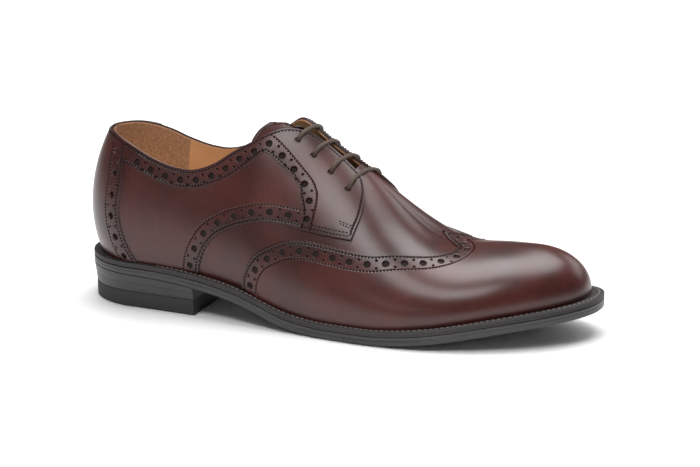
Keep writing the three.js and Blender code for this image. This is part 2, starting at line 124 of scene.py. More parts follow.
MEDIAL = table(
    SECTION_COLUMNS,
    [
        (0.0, 0.983, 0, 0.274, 0.07, 0.408, 0.7), (0.15, 0.967, 0, 0.294, 0.06, 0.429, 0.62),
        (0.3, 0.911, 0, 0.269, 0.08, 0.469, 0.5), (0.4, 1.003, 0.003, 0.244, 0.1, 0.469, 0.5),
        (0.5, 0.878, 0.012, 0.274, 0.09, 0.429, 0.43), (0.6, 0.718, 0.03, 0.348, 0.07, 0.367, 0.45),
        (0.68, 0.527, 0.044, 0.413, 0.06, 0.286, 0.5), (0.78, 0.341, 0.047, 0.413, 0.06, 0.204, 0.54),
        (0.9, 0.282, 0.025, 0.373, 0.06, 0.153, 0.71), (1.0, 0.258, 0, 0.323, 0.06, 0.122, 0.8),
    ],
)
BACK = (0.0209, -0.0327, 0.0608, 0.1454)
FRONT = (0.9725, 0.9775, 0.9359, 0.865)

# Pattern lines: station from heel to toe, rise from the feather line to the spine
TOPLINES = {
    -1: table(
        ("station", "rise"),
        [
            (0.0, 0.578), (0.035, 0.568), (0.07, 0.545), (0.1, 0.521), (0.15, 0.479), (0.2, 0.461),
            (0.24, 0.475), (0.276, 0.535), (0.305, 0.622), (0.34, 0.691), (0.374, 0.759), (0.408, 0.823),
            (0.445, 0.886), (0.491, 0.911), (0.546, 0.878), (0.62, 0.83),
        ],
    ),
    1: table(
        ("station", "rise"),
        [
            (0.0, 0.578), (0.035, 0.568), (0.07, 0.545), (0.1, 0.521), (0.15, 0.479), (0.2, 0.461),
            (0.24, 0.475), (0.276, 0.525), (0.305, 0.588), (0.34, 0.65), (0.365, 0.7), (0.38, 0.755),
            (0.395, 0.83), (0.412, 0.885), (0.45, 0.908), (0.51, 0.908), (0.566, 0.878), (0.64, 0.83),
        ],
    ),
}
COUNTER_FRONT = table(
    ("rise", "station"),
    [(0.0, 0.117), (0.056, 0.11), (0.113, 0.104), (0.2, 0.098), (0.377, 0.096), (0.5, 0.082), (0.6, 0.068)],
)
QUARTER_FOOT = table(
    ("station", "rise"),
    [
        (0.25, -0.03), (0.262, 0.046), (0.271, 0.086), (0.281, 0.126), (0.3, 0.185), (0.327, 0.235),
        (0.369, 0.287), (0.409, 0.332), (0.45, 0.365), (0.491, 0.39), (0.543, 0.419), (0.62, 0.48),
        (0.66, 0.51),
    ],
)
FACING_FRONT = table(
    ("rise", "station"),
    [
        (0.4, 0.583), (0.5, 0.589), (0.612, 0.593), (0.688, 0.591), (0.758, 0.586), (0.807, 0.578),
        (0.851, 0.566), (0.878, 0.546), (0.91, 0.5),
    ],
)
WING_EDGE = table(
    ("station", "rise"),
    [
        (0.347, -0.03), (0.358, 0.058), (0.366, 0.098), (0.386, 0.172), (0.42, 0.248), (0.45, 0.302),
        (0.494, 0.348), (0.557, 0.382), (0.597, 0.406), (0.635, 0.447), (0.672, 0.516), (0.71, 0.583),
        (0.748, 0.662), (0.769, 0.722), (0.792, 0.817), (0.8, 0.869), (0.808, 1.0),
    ],
)
WING_PEAK_ALONG, WING_PEAK_ACROSS, WING_PEAK_FALL = 0.69, 0.11, 1.0
THROAT_END = 0.55
MEDIAL_LEAD = 0.02  # how far the medial facing reaches ahead of the lateral one, in stations
COLLAR_LOW = table(
    ("station", "rise"),
    [
        (0.06, 0.445), (0.1, 0.43), (0.138, 0.4), (0.173, 0.376), (0.203, 0.366), (0.231, 0.372),
        (0.252, 0.383), (0.271, 0.402), (0.292, 0.431), (0.32, 0.475), (0.341, 0.522), (0.361, 0.574),
        (0.376, 0.618), (0.39, 0.66),
    ],
)
FACING_BACK = table(
    ("rise", "station"),
    [
        (0.36, 0.482), (0.481, 0.477), (0.513, 0.469), (0.562, 0.458), (0.58, 0.446), (0.598, 0.412),
        (0.625, 0.372), (0.66, 0.325),
    ],
)
FACING_HOLES = table(
    ("rise", "station"),
    [
        (0.38, 0.49), (0.449, 0.491), (0.526, 0.487), (0.588, 0.466), (0.619, 0.437), (0.643, 0.406),
        (0.675, 0.371), (0.71, 0.335),
    ],
)
FACING_OUT = table(
    ("rise", "station"),
    [
        (0.39, 0.502), (0.484, 0.503), (0.533, 0.502), (0.592, 0.494), (0.626, 0.479), (0.655, 0.447),
        (0.684, 0.41), (0.724, 0.37), (0.79, 0.315),
    ],
)
EYELETS = table(
    ("lateral", "medial", "rise"),
    [(0.425, 0.439, 0.763), (0.464, 0.481, 0.75), (0.508, 0.528, 0.728), (0.552, 0.574, 0.699)],
)


# ---------------------------------------------------------------------------------------------
# Curves and surfaces of the shoe
def smoothstep(x, low, high):
    t = np.clip((np.asarray(x, float) - low) / (high - low), 0, 1)
    return t * t * (3 - 2 * t)


def read(rows, column, at, key="station"):
    """Smooth curve through one column of a table."""
    xs, ys = rows[key], rows[column]
    x = np.clip(np.asarray(at, float), xs[0], xs[-1])
    span = np.diff(xs)
    slope = np.diff(ys) / span
    tangent = np.empty_like(ys)
    tangent[0], tangent[-1] = slope[0], slope[-1]
    tangent[1:-1] = (slope[:-1] * span[1:] + slope[1:] * span[:-1]) / (span[:-1] + span[1:])
    k = np.clip(np.searchsorted(xs, x, side="right") - 1, 0, len(xs) - 2)
    t = (x - xs[k]) / span[k]
    rest = 1 - t
    return (
        (1 + 2 * t) * rest * rest * ys[k]
        + t * rest * rest * span[k] * tangent[k]
        + t * t * (3 - 2 * t) * ys[k + 1]
        - t * t * rest * span[k] * tangent[k + 1]
    )


def bezier(points, t):
    a, b, c, d = points
    rest = 1 - t
    return a * rest**3 + 3 * b * t * rest**2 + 3 * c * t**2 * rest + d * t**3


def station_at(turn):
    return (1 - np.cos(turn)) / 2


def turn_at(station):
    return np.arccos(np.clip(1 - 2 * np.asarray(station, float), -1, 1))


def rounding(station):
    heel = np.clip((HEEL_ROUND - station) / HEEL_ROUND, 0, 1)
    toe = np.clip((station - (1 - TOE_ROUND)) / TOE_ROUND, 0, 1)
    return np.sqrt(1 - heel**2) * np.maximum(1 - toe**TOE_POWER, 0) ** (1 / TOE_POWER)


def centre_line(station):
    return TOE_SWING * np.clip((station - SWING_START) / (1 - SWING_START), 0, 1) ** 2


def underside(x):
    station = x / SOLE_LENGTH
    rise = HEEL_HEIGHT * read(UNDERSIDE, "heel", station) + TOE_SPRING * read(UNDERSIDE, "toe", station)
    return np.maximum(rise, 0)


def outsole_top(x):
    return underside(x) + OUTSOLE_THICKNESS - HEEL_SKIVE * np.clip(1 - x / HEEL_LENGTH, 0, 1)


def welt_foot(x):
    return outsole_top(x) + GAP


def welt_top(x):
    return welt_foot(x) + WELT_THICKNESS


def feather_height(x):
    return welt_top(x) + GAP


def sole_plan(turn):
    station = station_at(turn)
    left = np.sin(turn) < 0
    half = BALL_WIDTH * np.where(left, -read(PLAN, "lateral", station), read(PLAN, "medial", station))
    return np.stack([station * SOLE_LENGTH, half * rounding(station) + centre_line(station)], -1)


def last_point(turn, rise):
    turn, rise = np.broadcast_arrays(np.asarray(turn, float), np.asarray(rise, float))
    station = station_at(turn)
    left = np.sin(turn) < 0

    def section(column):
        return np.where(left, read(LATERAL, column, station), read(MEDIAL, column, station))

    half, flare = BALL_WIDTH * section("width"), BALL_WIDTH * section("flare")
    spine, wall = INSTEP_HEIGHT * section("spine"), INSTEP_HEIGHT * section("wall")
    spread = bezier((half, half + flare, half * section("crown"), 0), rise) * rounding(station)
    ridge = BALL_WIDTH * section("ridge") * bezier((0, 0, 1, 1), rise)
    foot_x = SOLE_LENGTH * (BACK[0] * (1 - station) + FRONT[0] * station)
    x = SOLE_LENGTH * (bezier(BACK, rise) * (1 - station) + bezier(FRONT, rise) * station)
    y = np.where(left, -1, 1) * spread + ridge + centre_line(foot_x / SOLE_LENGTH)
    z = feather_height(foot_x) + bezier((0, wall, spine, spine), rise)
    return np.stack([x, y, z], -1)


TURNS, RISES = 480, 120
LEVEL_FOOT = 0.08
TOE_CAP_RADIUS = 24.0


def unit(v):
    return v / np.maximum(np.linalg.norm(v, axis=-1, keepdims=True), 1e-12)


def soften_toe(points):
    """Takes the slight fold out of the toe's top, where the spine ends, by a local smooth fit."""
    end = points[TURNS // 2, RISES]
    flat = points.reshape(-1, 3)
    away = np.linalg.norm(flat[:, :2] - end[:2], axis=1)
    high = flat[:, 2] > end[2] - 22
    near = np.flatnonzero((away < TOE_CAP_RADIUS) & high)
    around = flat[np.flatnonzero((away < TOE_CAP_RADIUS + 12) & high)]
    cells = np.unique(np.floor(around[:, :2] / 1.6), axis=0, return_index=True)[1]
    around = around[cells]
    shift = around[None, :, :2] - flat[near][:, None, :2]
    weight = np.exp(-(shift**2).sum(-1) / (2 * 4.5**2))
    dx, dy = shift[..., 0], shift[..., 1]
    basis = np.stack([np.ones_like(dx), dx, dy, dx * dx, dx * dy, dy * dy], -1)
    weighted = basis * weight[..., None]
    normal = np.einsum("tck,tcl->tkl", weighted, basis) + 1e-6 * np.eye(6)
    right = np.einsum("tck,c->tk", weighted, around[:, 2])
    fitted = np.linalg.solve(normal, right[..., None])[:, 0, 0]
    mix = 1 - smoothstep(away[near], 0.45 * TOE_CAP_RADIUS, TOE_CAP_RADIUS)
    flat[near, 2] = flat[near, 2] * (1 - mix) + fitted * mix


def fair(points, reach):
    """Takes small waves out of the last along its length; the second pass gives its curves back."""
    away = np.arange(-3 * reach, 3 * reach + 1)
    weight = np.exp(-(away**2) / (2 * reach**2))
    weight /= weight.sum()

    def blur(p):
        return sum(w * np.roll(p, k, axis=0) for w, k in zip(weight, away))

    once = blur(points)
    share = smoothstep(station_at(2 * np.pi * np.arange(TURNS) / TURNS), *FAIR_FROM)[:, None, None]
    return points + share * (2 * once - blur(once) - points)


FAIRING, FAIR_FROM = 7, (0.44, 0.56)  # reach in steps of the turn, and the stations where it sets in


def make_last():
    turn = 2 * np.pi * np.arange(TURNS) / TURNS
    rise = np.arange(RISES + 1) / RISES
    points = last_point(turn[:, None], rise[None, :])
    soften_toe(points)
    points = fair(points, FAIRING)
    nxt = (np.arange(TURNS) + 1) % TURNS
    a, b = points[:, :-1], points[nxt][:, :-1]
    c, d = points[nxt][:, 1:], points[:, 1:]
    face = np.cross(c - a, d - b)
    normals = np.zeros_like(points)
    normals[:, :-1] += face
    normals[:, 1:] += face
    normals[nxt, :-1] += face
    normals[nxt, 1:] += face
    mirror = (-np.arange(TURNS)) % TURNS
    normals[:, -1] = normals[:, -1] + normals[mirror, -1]
    normals = unit(normals)
    if (normals[TURNS // 4 * 3, RISES // 3] * (0, -1, 0)).sum() < 0:
        normals = -normals
    level = normals.copy()
    level[..., 2] *= smoothstep(rise, 0, LEVEL_FOOT)[None, :]
    return np.concatenate([points, unit(level), normals], -1)


LAST = make_last()
CHART_TURN, CHART_RISE = 105.0, 80.0  # millimetres of chart for a radian of turn and for the whole rise


def pillow(chart):
    """The upper laid open along the toe and heel: medial side positive, lateral side negative."""
    turn = chart[..., 0] / CHART_TURN
    return np.where(chart[..., 1] >= 0, turn, -turn), 1 - np.abs(chart[..., 1]) / CHART_RISE


def wrap(chart):
    """The back of the upper, laid open from the heel forwards on both sides."""
    return -chart[..., 0] / CHART_TURN, chart[..., 1] / CHART_RISE


def on_pillow(station, rise, side):
    station, rise = np.broadcast_arrays(np.asarray(station, float), np.asarray(rise, float))
    return np.stack([CHART_TURN * turn_at(station), side * CHART_RISE * (1 - rise)], -1)


def look(layout, chart):
    """Place, offset direction and normal of the last at chart points."""
    turn, rise = layout(np.asarray(chart, float))
    over = rise > 1
    turn = np.where(over, -turn, turn)
    rise = np.where(over, 2 - rise, rise)
    along = np.mod(turn / (2 * np.pi) * TURNS, TURNS)
    i = np.floor(along).astype(int)
    fi = (along - i)[..., None]
    i0, i1 = i % TURNS, (i + 1) % TURNS
    up = rise * RISES
    j = np.clip(np.floor(up).astype(int), 0, RISES - 1)
    fj = (up - j)[..., None]
    low = LAST[i0, j] * (1 - fi) + LAST[i1, j] * fi
    high = LAST[i0, j + 1] * (1 - fi) + LAST[i1, j + 1] * fi
    both = low * (1 - fj) + high * fj
    return both[..., :3], unit(both[..., 3:6]), unit(both[..., 6:9])


def place(layout, chart, offset=0.0):
    point, direction, _ = look(layout, chart)
    return point + direction * np.asarray(offset, float)[..., None]


PROBE = 0.7


def tangents(layout, chart):
    e1, e2 = np.array([PROBE, 0]), np.array([0, PROBE])
    a = (look(layout, chart + e1)[0] - look(layout, chart - e1)[0]) / (2 * PROBE)
    b = (look(layout, chart + e2)[0] - look(layout, chart - e2)[0]) / (2 * PROBE)
    return a, b


def step(layout, chart, move):
    """Chart points moved by a small 3-D distance over the surface."""
    a, b = tangents(layout, chart)
    aa, bb, ab = (a * a).sum(-1), (b * b).sum(-1), (a * b).sum(-1)
    ma, mb = (a * move).sum(-1), (b * move).sum(-1)
    det = np.maximum(aa * bb - ab * ab, 1e-3)
    return chart + np.stack([(bb * ma - ab * mb) / det, (aa * mb - ab * ma) / det], -1)


def leftward(layout, chart, closed=False):
    """Unit direction to the left of a path, seen from outside."""
    point, _, normal = look(layout, chart)
    if closed:
        along = unit(np.roll(point, -1, 0) - point) + unit(point - np.roll(point, 1, 0))
    else:
        along = np.gradient(point, axis=0)
    return unit(np.cross(normal, unit(along)))


def run_of(points):
    """Distance of each point from the start of its line."""
    return np.concatenate([[0], np.cumsum(np.linalg.norm(np.diff(points, axis=0), axis=1))])


def at_run(want, run, points):
    """Points of a line at the wanted distances from its start."""
    return np.stack([np.interp(want, run, column) for column in points.T], -1)


def lengths(layout, chart):
    return run_of(look(layout, chart)[0])


def resample(layout, chart, pitch=None, count=None, phase=0.0):
    """Evenly spaced points on a path; with a phase they start that share of a pitch in."""
    run = lengths(layout, chart)
    if count is None:
        count = max(1, round(run[-1] / pitch))
    if phase:
        want = (np.arange(count) + phase) * run[-1] / count
    else:
        want = np.linspace(0, run[-1], count + 1)
    return at_run(want, run, chart)


def shifted(layout, chart, distance, steps=4):
    """A path moved to its left over the surface."""
    moved = chart.copy()
    for _ in range(steps):
        moved = step(layout, moved, leftward(layout, moved) * distance / steps)
    return moved


def extended(layout, chart, distance, at_start):
    ends = chart[::-1] if at_start else chart
    point = look(layout, ends[-3:])[0]
    speed = np.linalg.norm(point[-1] - point[0])
    lead = (ends[-1] - ends[-3]) / speed
    tail = ends[-1] + lead * np.linspace(0, distance, 8)[1:, None]
    longer = np.vstack([ends, tail])
    return longer[::-1] if at_start else longer


def crossing(first, second):
    """Where two paths cross nearest to the end of the first one."""
    p, r = first[:-1], np.diff(first, axis=0)
    q, s = second[:-1], np.diff(second, axis=0)
    cross = r[:, None, 0] * s[None, :, 1] - r[:, None, 1] * s[None, :, 0]
    gap = q[None] - p[:, None]
    cross = np.where(np.abs(cross) < 1e-9, 1e-9, cross)
    t = (gap[..., 0] * s[None, :, 1] - gap[..., 1] * s[None, :, 0]) / cross
    u = (gap[..., 0] * r[:, None, 1] - gap[..., 1] * r[:, None, 0]) / cross
    hit = np.argwhere((t >= 0) & (t <= 1) & (u >= 0) & (u <= 1))
    if not len(hit):
        return None
    i, j = hit[np.argmax(hit[:, 0])]
    return i, j, p[i] + t[i, j] * r[i]


def offset_paths(layout, segments, distances):
    """Moves joined paths to their left and trims or extends them to meet again at each corner."""
    if np.isscalar(distances):
        distances = [distances] * len(segments)
    reach = 1.7 * max(abs(d) for d in distances)
    moved = []
    for k, path in enumerate(segments):
        if k:
            path = extended(layout, path, reach, True)
        if k + 1 < len(segments):
            path = extended(layout, path, reach, False)
        moved.append(shifted(layout, path, distances[k]))
    for k in range(len(moved) - 1):
        found = crossing(moved[k], moved[k + 1])
        if found is None:
            continue
        i, j, point = found
        moved[k] = np.vstack([moved[k][: i + 1], point])
        moved[k + 1] = np.vstack([point, moved[k + 1][j + 1 :]])
    return moved


PINK_PITCH, PINK_DEPTH = 2.5, 1.15


def pinked(layout, path, depth=PINK_DEPTH):
    """Saw-tooth edge with its points on the path and its notches to the left."""
    count = max(2, round(lengths(layout, path)[-1] / PINK_PITCH))
    teeth = resample(layout, path, count=2 * count)
    inward = leftward(layout, teeth) * depth
    return np.where((np.arange(len(teeth)) % 2 == 1)[:, None], step(layout, teeth, inward), teeth)


# ---------------------------------------------------------------------------------------------
# Meshes
SOLE_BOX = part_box("outsole")
_plan = sole_plan(np.linspace(0, 2 * np.pi, 4001))
SHIFT = np.array([-SOLE_BOX[0][0] * 1000, _plan[:, 1].min() - SOLE_BOX[0][1] * 1000, 0.0])


def add_mesh(
    name, points, faces, materials, looks=None, normals=None, values=None, replaces=(), sharp=None
):
    """A piece that rides on the shoe, from points in the shoe's own millimetres."""
    world = np.asarray(points, float).copy()
    world[:, 0] -= SHIFT[0]
    world[:, 1] -= SHIFT[1]
    world /= 1000
    mesh = bpy.data.meshes.new(name)
    mesh.from_pydata(world.tolist(), [], [tuple(int(k) for k in f) for f in faces])
    for material in materials:
        mesh.materials.append(material)
    if looks is not None:
        mesh.polygons.foreach_set("material_index", np.asarray(looks, np.int32))
    mesh.polygons.foreach_set("use_smooth", np.ones(len(mesh.polygons), bool))
    for key, value in (values or {}).items():
        layer = mesh.attributes.new(key, "FLOAT", "POINT")
        layer.data.foreach_set("value", np.asarray(value, np.float32))
    if sharp is not None:
        mesh.set_sharp_from_angle(angle=math.radians(sharp))
    mesh.update()
    if normals is not None:
        mesh.normals_split_custom_set_from_vertices(unit(np.asarray(normals, float)).tolist())
    piece = bpy.data.objects.new(name, mesh)
    bpy.context.scene.collection.objects.link(piece)
    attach(piece, "root")
    if replaces:
        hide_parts(*replaces)
    return piece


def inside(points, loops):
    """Even-odd test of points against closed loops."""
    odd = np.zeros(len(points), bool)
    for ring in loops:
        a, b = ring, np.roll(ring, -1, 0)
        for start in range(0, len(points), 4000):
            part = points[start : start + 4000]
            x, y = part[:, 0, None], part[:, 1, None]
            spans = (a[:, 1] > y) != (b[:, 1] > y)
            rise = np.where(np.abs(b[:, 1] - a[:, 1]) < 1e-12, 1e-12, b[:, 1] - a[:, 1])
            at = a[:, 0] + (y - a[:, 1]) / rise * (b[:, 0] - a[:, 0])
            odd[start : start + 4000] ^= (spans & (x < at)).sum(1) % 2 == 1
    return odd


def nearest_tree(points):
    tree = KDTree(len(points))
    for k, p in enumerate(points):
        tree.insert((p[0], p[1], p[2] if len(p) > 2 else 0.0), k)
    tree.balance()
    return tree


def hole_ring(layout, centre, radius, sides):
    normal = look(layout, centre)[2]
    first = unit(tangents(layout, centre)[0])
    second = np.cross(normal, first)
    angle = 2 * np.pi * np.arange(sides) / sides
    move = radius * (np.cos(angle)[:, None] * first + np.sin(angle)[:, None] * second)
    here = np.repeat(centre[None], sides, 0)
    return step(layout, here, move), unit(move)


EDGE, SEAM = 1.0, 0.0  # a cut edge, or a line where a piece joins itself
TRIANGLE_HEIGHT = 0.866  # of an even-sided triangle, in shares of its side
GROOVE_HALF = 0.75  # from the middle of a stitch row's groove to its edge
LIP = 0.7  # share of the bevel that the edge of a hole takes


def panel(
    layout,
    outline,
    top,
    foot,
    holes=(),
    spacing=3.0,
    bevel=0.35,
    cuts=(),
    grooves=(),
    lining=False,
    lift=None,
    relief=None,
):
    """A leather piece cut out of the last's surface, with bevelled edges and real holes.

    outline: (path, kind) pairs that close anticlockwise. holes: (centre, radius). The result holds points,
    faces, normals, the distance of each point from the cut edge and 1 where it belongs to the lining.
    """
    outer = np.vstack([path[:-1] for path, _ in outline])
    kind = np.concatenate([np.full(len(path) - 1, k) for path, k in outline])
    kind = np.where(np.roll(kind, 1) == SEAM, SEAM, kind)
    left = leftward(layout, outer, closed=True)
    inset = step(layout, outer, left * (bevel * kind)[:, None])
    loops, heights = [outer, inset], [top - bevel * kind, np.full(len(outer), top)]
    tilts = [-left * kind[:, None], np.zeros_like(left)]
    centres = []
    for centre, radius in holes:
        sides = 18 if radius > 1.5 else 10
        lip, away = hole_ring(layout, centre, radius + LIP * bevel, sides)
        ring, _ = hole_ring(layout, centre, radius, sides)
        loops += [lip, ring]
        heights += [np.full(sides, top), np.full(sides, top - LIP * bevel)]
        tilts += [np.zeros_like(away), -away]
        centres.append((centre, radius))
    chart = np.vstack(loops)
    height, tilt = np.concatenate(heights), np.vstack(tilts)
    edges, start = [], 0
    for loop in loops:
        n = len(loop)
        edges += [(start + k, start + (k + 1) % n) for k in range(n)]
        start += n
    channel = np.zeros(len(chart))
    for cut in cuts:
        edges += [(start + k, start + k + 1) for k in range(len(cut) - 1)]
        chart, start = np.vstack([chart, cut]), start + len(cut)
        channel = np.concatenate([channel, np.zeros(len(cut))])
    for groove in grooves:
        groove = resample(layout, groove, pitch=1.6)
        for aside in (-GROOVE_HALF, 0.0, GROOVE_HALF):
            path = shifted(layout, groove, aside, 1) if aside else groove
            edges += [(start + k, start + k + 1) for k in range(len(path) - 1)]
            chart, start = np.vstack([chart, path]), start + len(path)
            channel = np.concatenate([channel, np.full(len(path), 0.0 if aside else 1.0)])
    low, high = outer.min(0), outer.max(0)
    columns = np.arange(low[0], high[0], spacing)
    rows = np.arange(low[1], high[1], spacing * TRIANGLE_HEIGHT)
    grid = np.stack(np.meshgrid(columns, rows), -1)
    grid[1::2, :, 0] += spacing / 2
    grid = grid.reshape(-1, 2)
    grid = grid[inside(grid, [outer])]
    tree = nearest_tree(chart)
    grid = grid[[tree.find((p[0], p[1], 0))[2] > 0.4 * spacing for p in grid]]
    if centres:
        hubs = nearest_tree([c for c, _ in centres])
        big = max(r for _, r in centres)
        grid = grid[[hubs.find((p[0], p[1], 0))[2] > big + 0.3 * spacing for p in grid]]
    chart = np.vstack([chart, grid])
    count = len(chart)
    height = np.concatenate([height, np.full(count - len(height), top)])
    tilt = np.vstack([tilt, np.zeros((count - len(tilt), 3))])
    channel = np.concatenate([channel, np.zeros(count - len(channel))])
    made = delaunay_2d_cdt([Vector(p) for p in chart], edges, [], 0, 1e-5)
    points2 = np.array([tuple(v) for v in made[0]])
    triangles = np.array(made[2])
    source = made[3]
    back = {}
    for k, came in enumerate(source):
        for old in came:
            back[old] = k
    out_height = np.array([height[came[0]] if came else top - bevel / 2 for came in source])
    out_tilt = np.array([tilt[came[0]] if came else (0, 0, 0) for came in source])
    out_channel = np.array([max(channel[c] for c in came) if came else 0.0 for came in source])
    a, b, c = (points2[triangles[:, k]] for k in range(3))
    area = (b[:, 0] - a[:, 0]) * (c[:, 1] - a[:, 1]) - (b[:, 1] - a[:, 1]) * (c[:, 0] - a[:, 0])
    triangles[area < 0] = triangles[area < 0][:, ::-1]
    keep = inside((a + b + c) / 3, [outer] + loops[3::2]) & (np.abs(area) > 1e-7)
    triangles = triangles[keep]
    used = np.unique(triangles)
    remap = np.full(len(points2), -1)
    remap[used] = np.arange(len(used))
    triangles, points2, out_height = remap[triangles], points2[used], out_height[used]
    out_tilt, out_channel = out_tilt[used], out_channel[used]
    extra = lift(points2) if lift else 0.0
    form = relief(points2) if relief else 0.0
    point, direction, normal = look(layout, points2)
    points = point + direction * (out_height + extra + form)[:, None]
    normals = unit(normal + out_tilt)
    faces, lined = [tuple(t) for t in triangles], [0] * len(triangles)
    walls, wall_normals = [], []
    start = 0
    for number, loop in enumerate(loops):
        n = len(loop)
        if number == 0 or number % 2 == 1 and number > 1:
            ids = [remap[back[start + k]] if back.get(start + k) is not None else -1 for k in range(n)]
            base = len(points) + len(walls)
            spot, way, _ = look(layout, loop)
            rise = (lift(loop) if lift else np.zeros(n)) + foot
            away = tilt[start : start + n]
            for k in range(n):
                walls.append(spot[k] + way[k] * rise[k])
                wall_normals.append(away[k] if np.any(away[k]) else way[k])
            for k in range(n):
                m = (k + 1) % n
                if number == 0 and (kind[k] == SEAM and kind[m] == SEAM):
                    continue
                if ids[k] < 0 or ids[m] < 0:
                    continue
                quad = (ids[k], base + k, base + m, ids[m])
                faces.append(quad if number == 0 else quad[::-1])
                lined.append(2)
        start += n
    if walls:
        points = np.vstack([points, walls])
        normals = np.vstack([normals, unit(np.array(wall_normals))])
    if lining:
        first = len(points)
        depth = foot + extra
        points = np.vstack([points, point + direction * np.broadcast_to(depth, len(point))[:, None]])
        normals = np.vstack([normals, -normal])
        faces += [tuple(first + k for k in t[::-1]) for t in triangles]
        lined += [1] * len(triangles)
    edge_points = look(layout, outer[kind == EDGE])[0] if (kind == EDGE).any() else look(layout, outer)[0]
    tree = nearest_tree(edge_points)
    near = np.array([tree.find(tuple(p))[2] for p in points])
    sunk = np.zeros(len(points))
    sunk[: len(out_channel)] = out_channel
    return {
        "points": points,
        "faces": faces,
        "normals": normals,
        "part": np.array(lined),
        "values": {"edge": near, "channel": sunk},
    }


# ---------------------------------------------------------------------------------------------
# Pattern paths on one side: -1 lateral, +1 medial
def facing_front(rise, side):
    """Station of the facing's front edge."""
    return read(FACING_FRONT, "station", rise, "rise") + (MEDIAL_LEAD if side > 0 else 0.0)


def facing_corner(side):
    """Where the facing's front meets the quarter's lower edge."""
    rise = np.linspace(0.4, 0.5, 400)
    gap = read(QUARTER_FOOT, "rise", facing_front(rise, side)) - rise
    at = rise[np.argmin(np.abs(gap))]
    return float(facing_front(at, side)), float(at)


def foot_start(rows):
    """Station where a pattern line leaves the feather line."""
    at = np.linspace(rows["station"][0], rows["station"][0] + 0.03, 300)
    return float(at[np.argmin(np.abs(read(rows, "rise", at)))])


FOOT = -0.004  # rise of a piece's foot, tucked behind the welt
CORNER = {side: facing_corner(side) for side in (-1, 1)}
WING_START, QUARTER_START = foot_start(WING_EDGE), foot_start(QUARTER_FOOT)


def counter_top():
    """Where the counter's front edge meets the topline."""
    rise = np.linspace(0.45, 0.6, 400)
    station = read(COUNTER_FRONT, "station", rise, "rise")
    k = np.argmin(np.abs(read(TOPLINES[1], "rise", station) - rise))
    return float(station[k]), float(rise[k])


COUNTER_CORNER = counter_top()


def topline(low, high, side, count=140):
    at = np.linspace(low, high, count)
    return on_pillow(at, read(TOPLINES[side], "rise", at), side)


FACING_JOIN = {-1: 0.546, 1: 0.566}  # station where the topline turns into the facing's front edge
FACING_JOIN_RISE = 0.878


def wing_paths():
    """The wing's edge from the medial sole over the peak to the lateral sole, in four smooth paths."""
    at = np.linspace(WING_START, 0.808, 260)
    peak = np.array([WING_PEAK_ALONG * SOLE_LENGTH, WING_PEAK_ACROSS * BALL_WIDTH])
    arms, legs = {}, {}
    for side in (-1, 1):
        path = on_pillow(at, read(WING_EDGE, "rise", at), side)
        spot = look(pillow, path)[0]
        ahead = spot[:, 0] - WING_PEAK_FALL * np.abs(spot[:, 1] - peak[1]) - peak[0]
        cut = np.flatnonzero((ahead > 0) & (at > 0.7))
        arms[side] = path[: (cut[0] + 1 if len(cut) else len(path))]
        valley = look(pillow, arms[side][-1])[0][:2]
        leg = [arms[side][-1]]
        for share in np.linspace(0, 1, 41)[1:]:
            guess = leg[-1]
            for _ in range(25):
                a, b = tangents(pillow, guess)
                miss = valley * (1 - share) + peak * share - look(pillow, guess)[0][:2]
                move = np.linalg.lstsq(np.array([[a[0], b[0]], [a[1], b[1]]]), miss, rcond=None)[0]
                guess = guess + np.clip(move, -3, 3)
            leg.append(guess)
        legs[side] = np.array(leg)
    legs[-1][-1] = legs[1][-1]
    return [arms[1], legs[1], legs[-1][::-1], arms[-1][::-1]]


def flow(paths, side):
    """Turns paths written for the lateral side so that their piece lies to the left on either side."""
    return [p[::-1] for p in reversed(paths)] if side > 0 else list(paths)


def meet(paths):
    """Trims neighbouring paths where they cross, or joins the end of one to the start of the next."""
    paths = [p.copy() for p in paths]
    for k in range(len(paths)):
        m = (k + 1) % len(paths)
        found = crossing(paths[k], paths[m])
        if found is not None and len(paths) > 1:
            i, j, point = found
            if np.linalg.norm(paths[k][-1] - paths[m][0]) > 1e-6:
                paths[k] = np.vstack([paths[k][: i + 1], point])
                paths[m] = np.vstack([point, paths[m][j + 1 :]])
        paths[m][0] = paths[k][-1]
    return paths


def counter_line(count=80):
    """The counter's front edge from the topline down to the welt."""
    rise = np.linspace(COUNTER_CORNER[1], FOOT, count)
    return read(COUNTER_FRONT, "station", np.maximum(rise, 0), "rise"), rise


def foot_line(layout_point, low, high, side, count=200):
    at = np.linspace(low, high, count)
    return layout_point(at, np.full(count, FOOT), side)


def on_wrap(station, rise, side):
    station, rise = np.broadcast_arrays(np.asarray(station, float), np.asarray(rise, float))
    return np.stack([-side * CHART_TURN * turn_at(station), CHART_RISE * rise], -1)


PLAIN_FROM = 0.5  # station where the quarter's lower edge turns from pinked to plain
QUARTER_TUCK = 0.012  # how far the quarter reaches in under the counter, in stations


def quarter_lines(side):
    front_station, front_rise = counter_line()
    at = np.linspace(QUARTER_START, PLAIN_FROM, 160)
    plain = np.linspace(PLAIN_FROM, CORNER[side][0], 60)
    front = np.linspace(CORNER[side][1], FACING_JOIN_RISE, 90)
    lines = {
        "back": on_pillow(front_station - QUARTER_TUCK, front_rise, side),
        "foot": foot_line(on_pillow, front_station[-1] - QUARTER_TUCK, QUARTER_START, side),
        "low": on_pillow(at, read(QUARTER_FOOT, "rise", at), side),
        "tip": on_pillow(plain, read(QUARTER_FOOT, "rise", plain), side),
        "front": on_pillow(facing_front(front, side), front, side),
        "top": topline(FACING_JOIN[side], COUNTER_CORNER[0] - QUARTER_TUCK, side),
    }
    lines["tip"][-1] = lines["front"][0]
    lines["top"][0] = lines["front"][-1]
    lines["back"][0] = lines["top"][-1]
    return lines


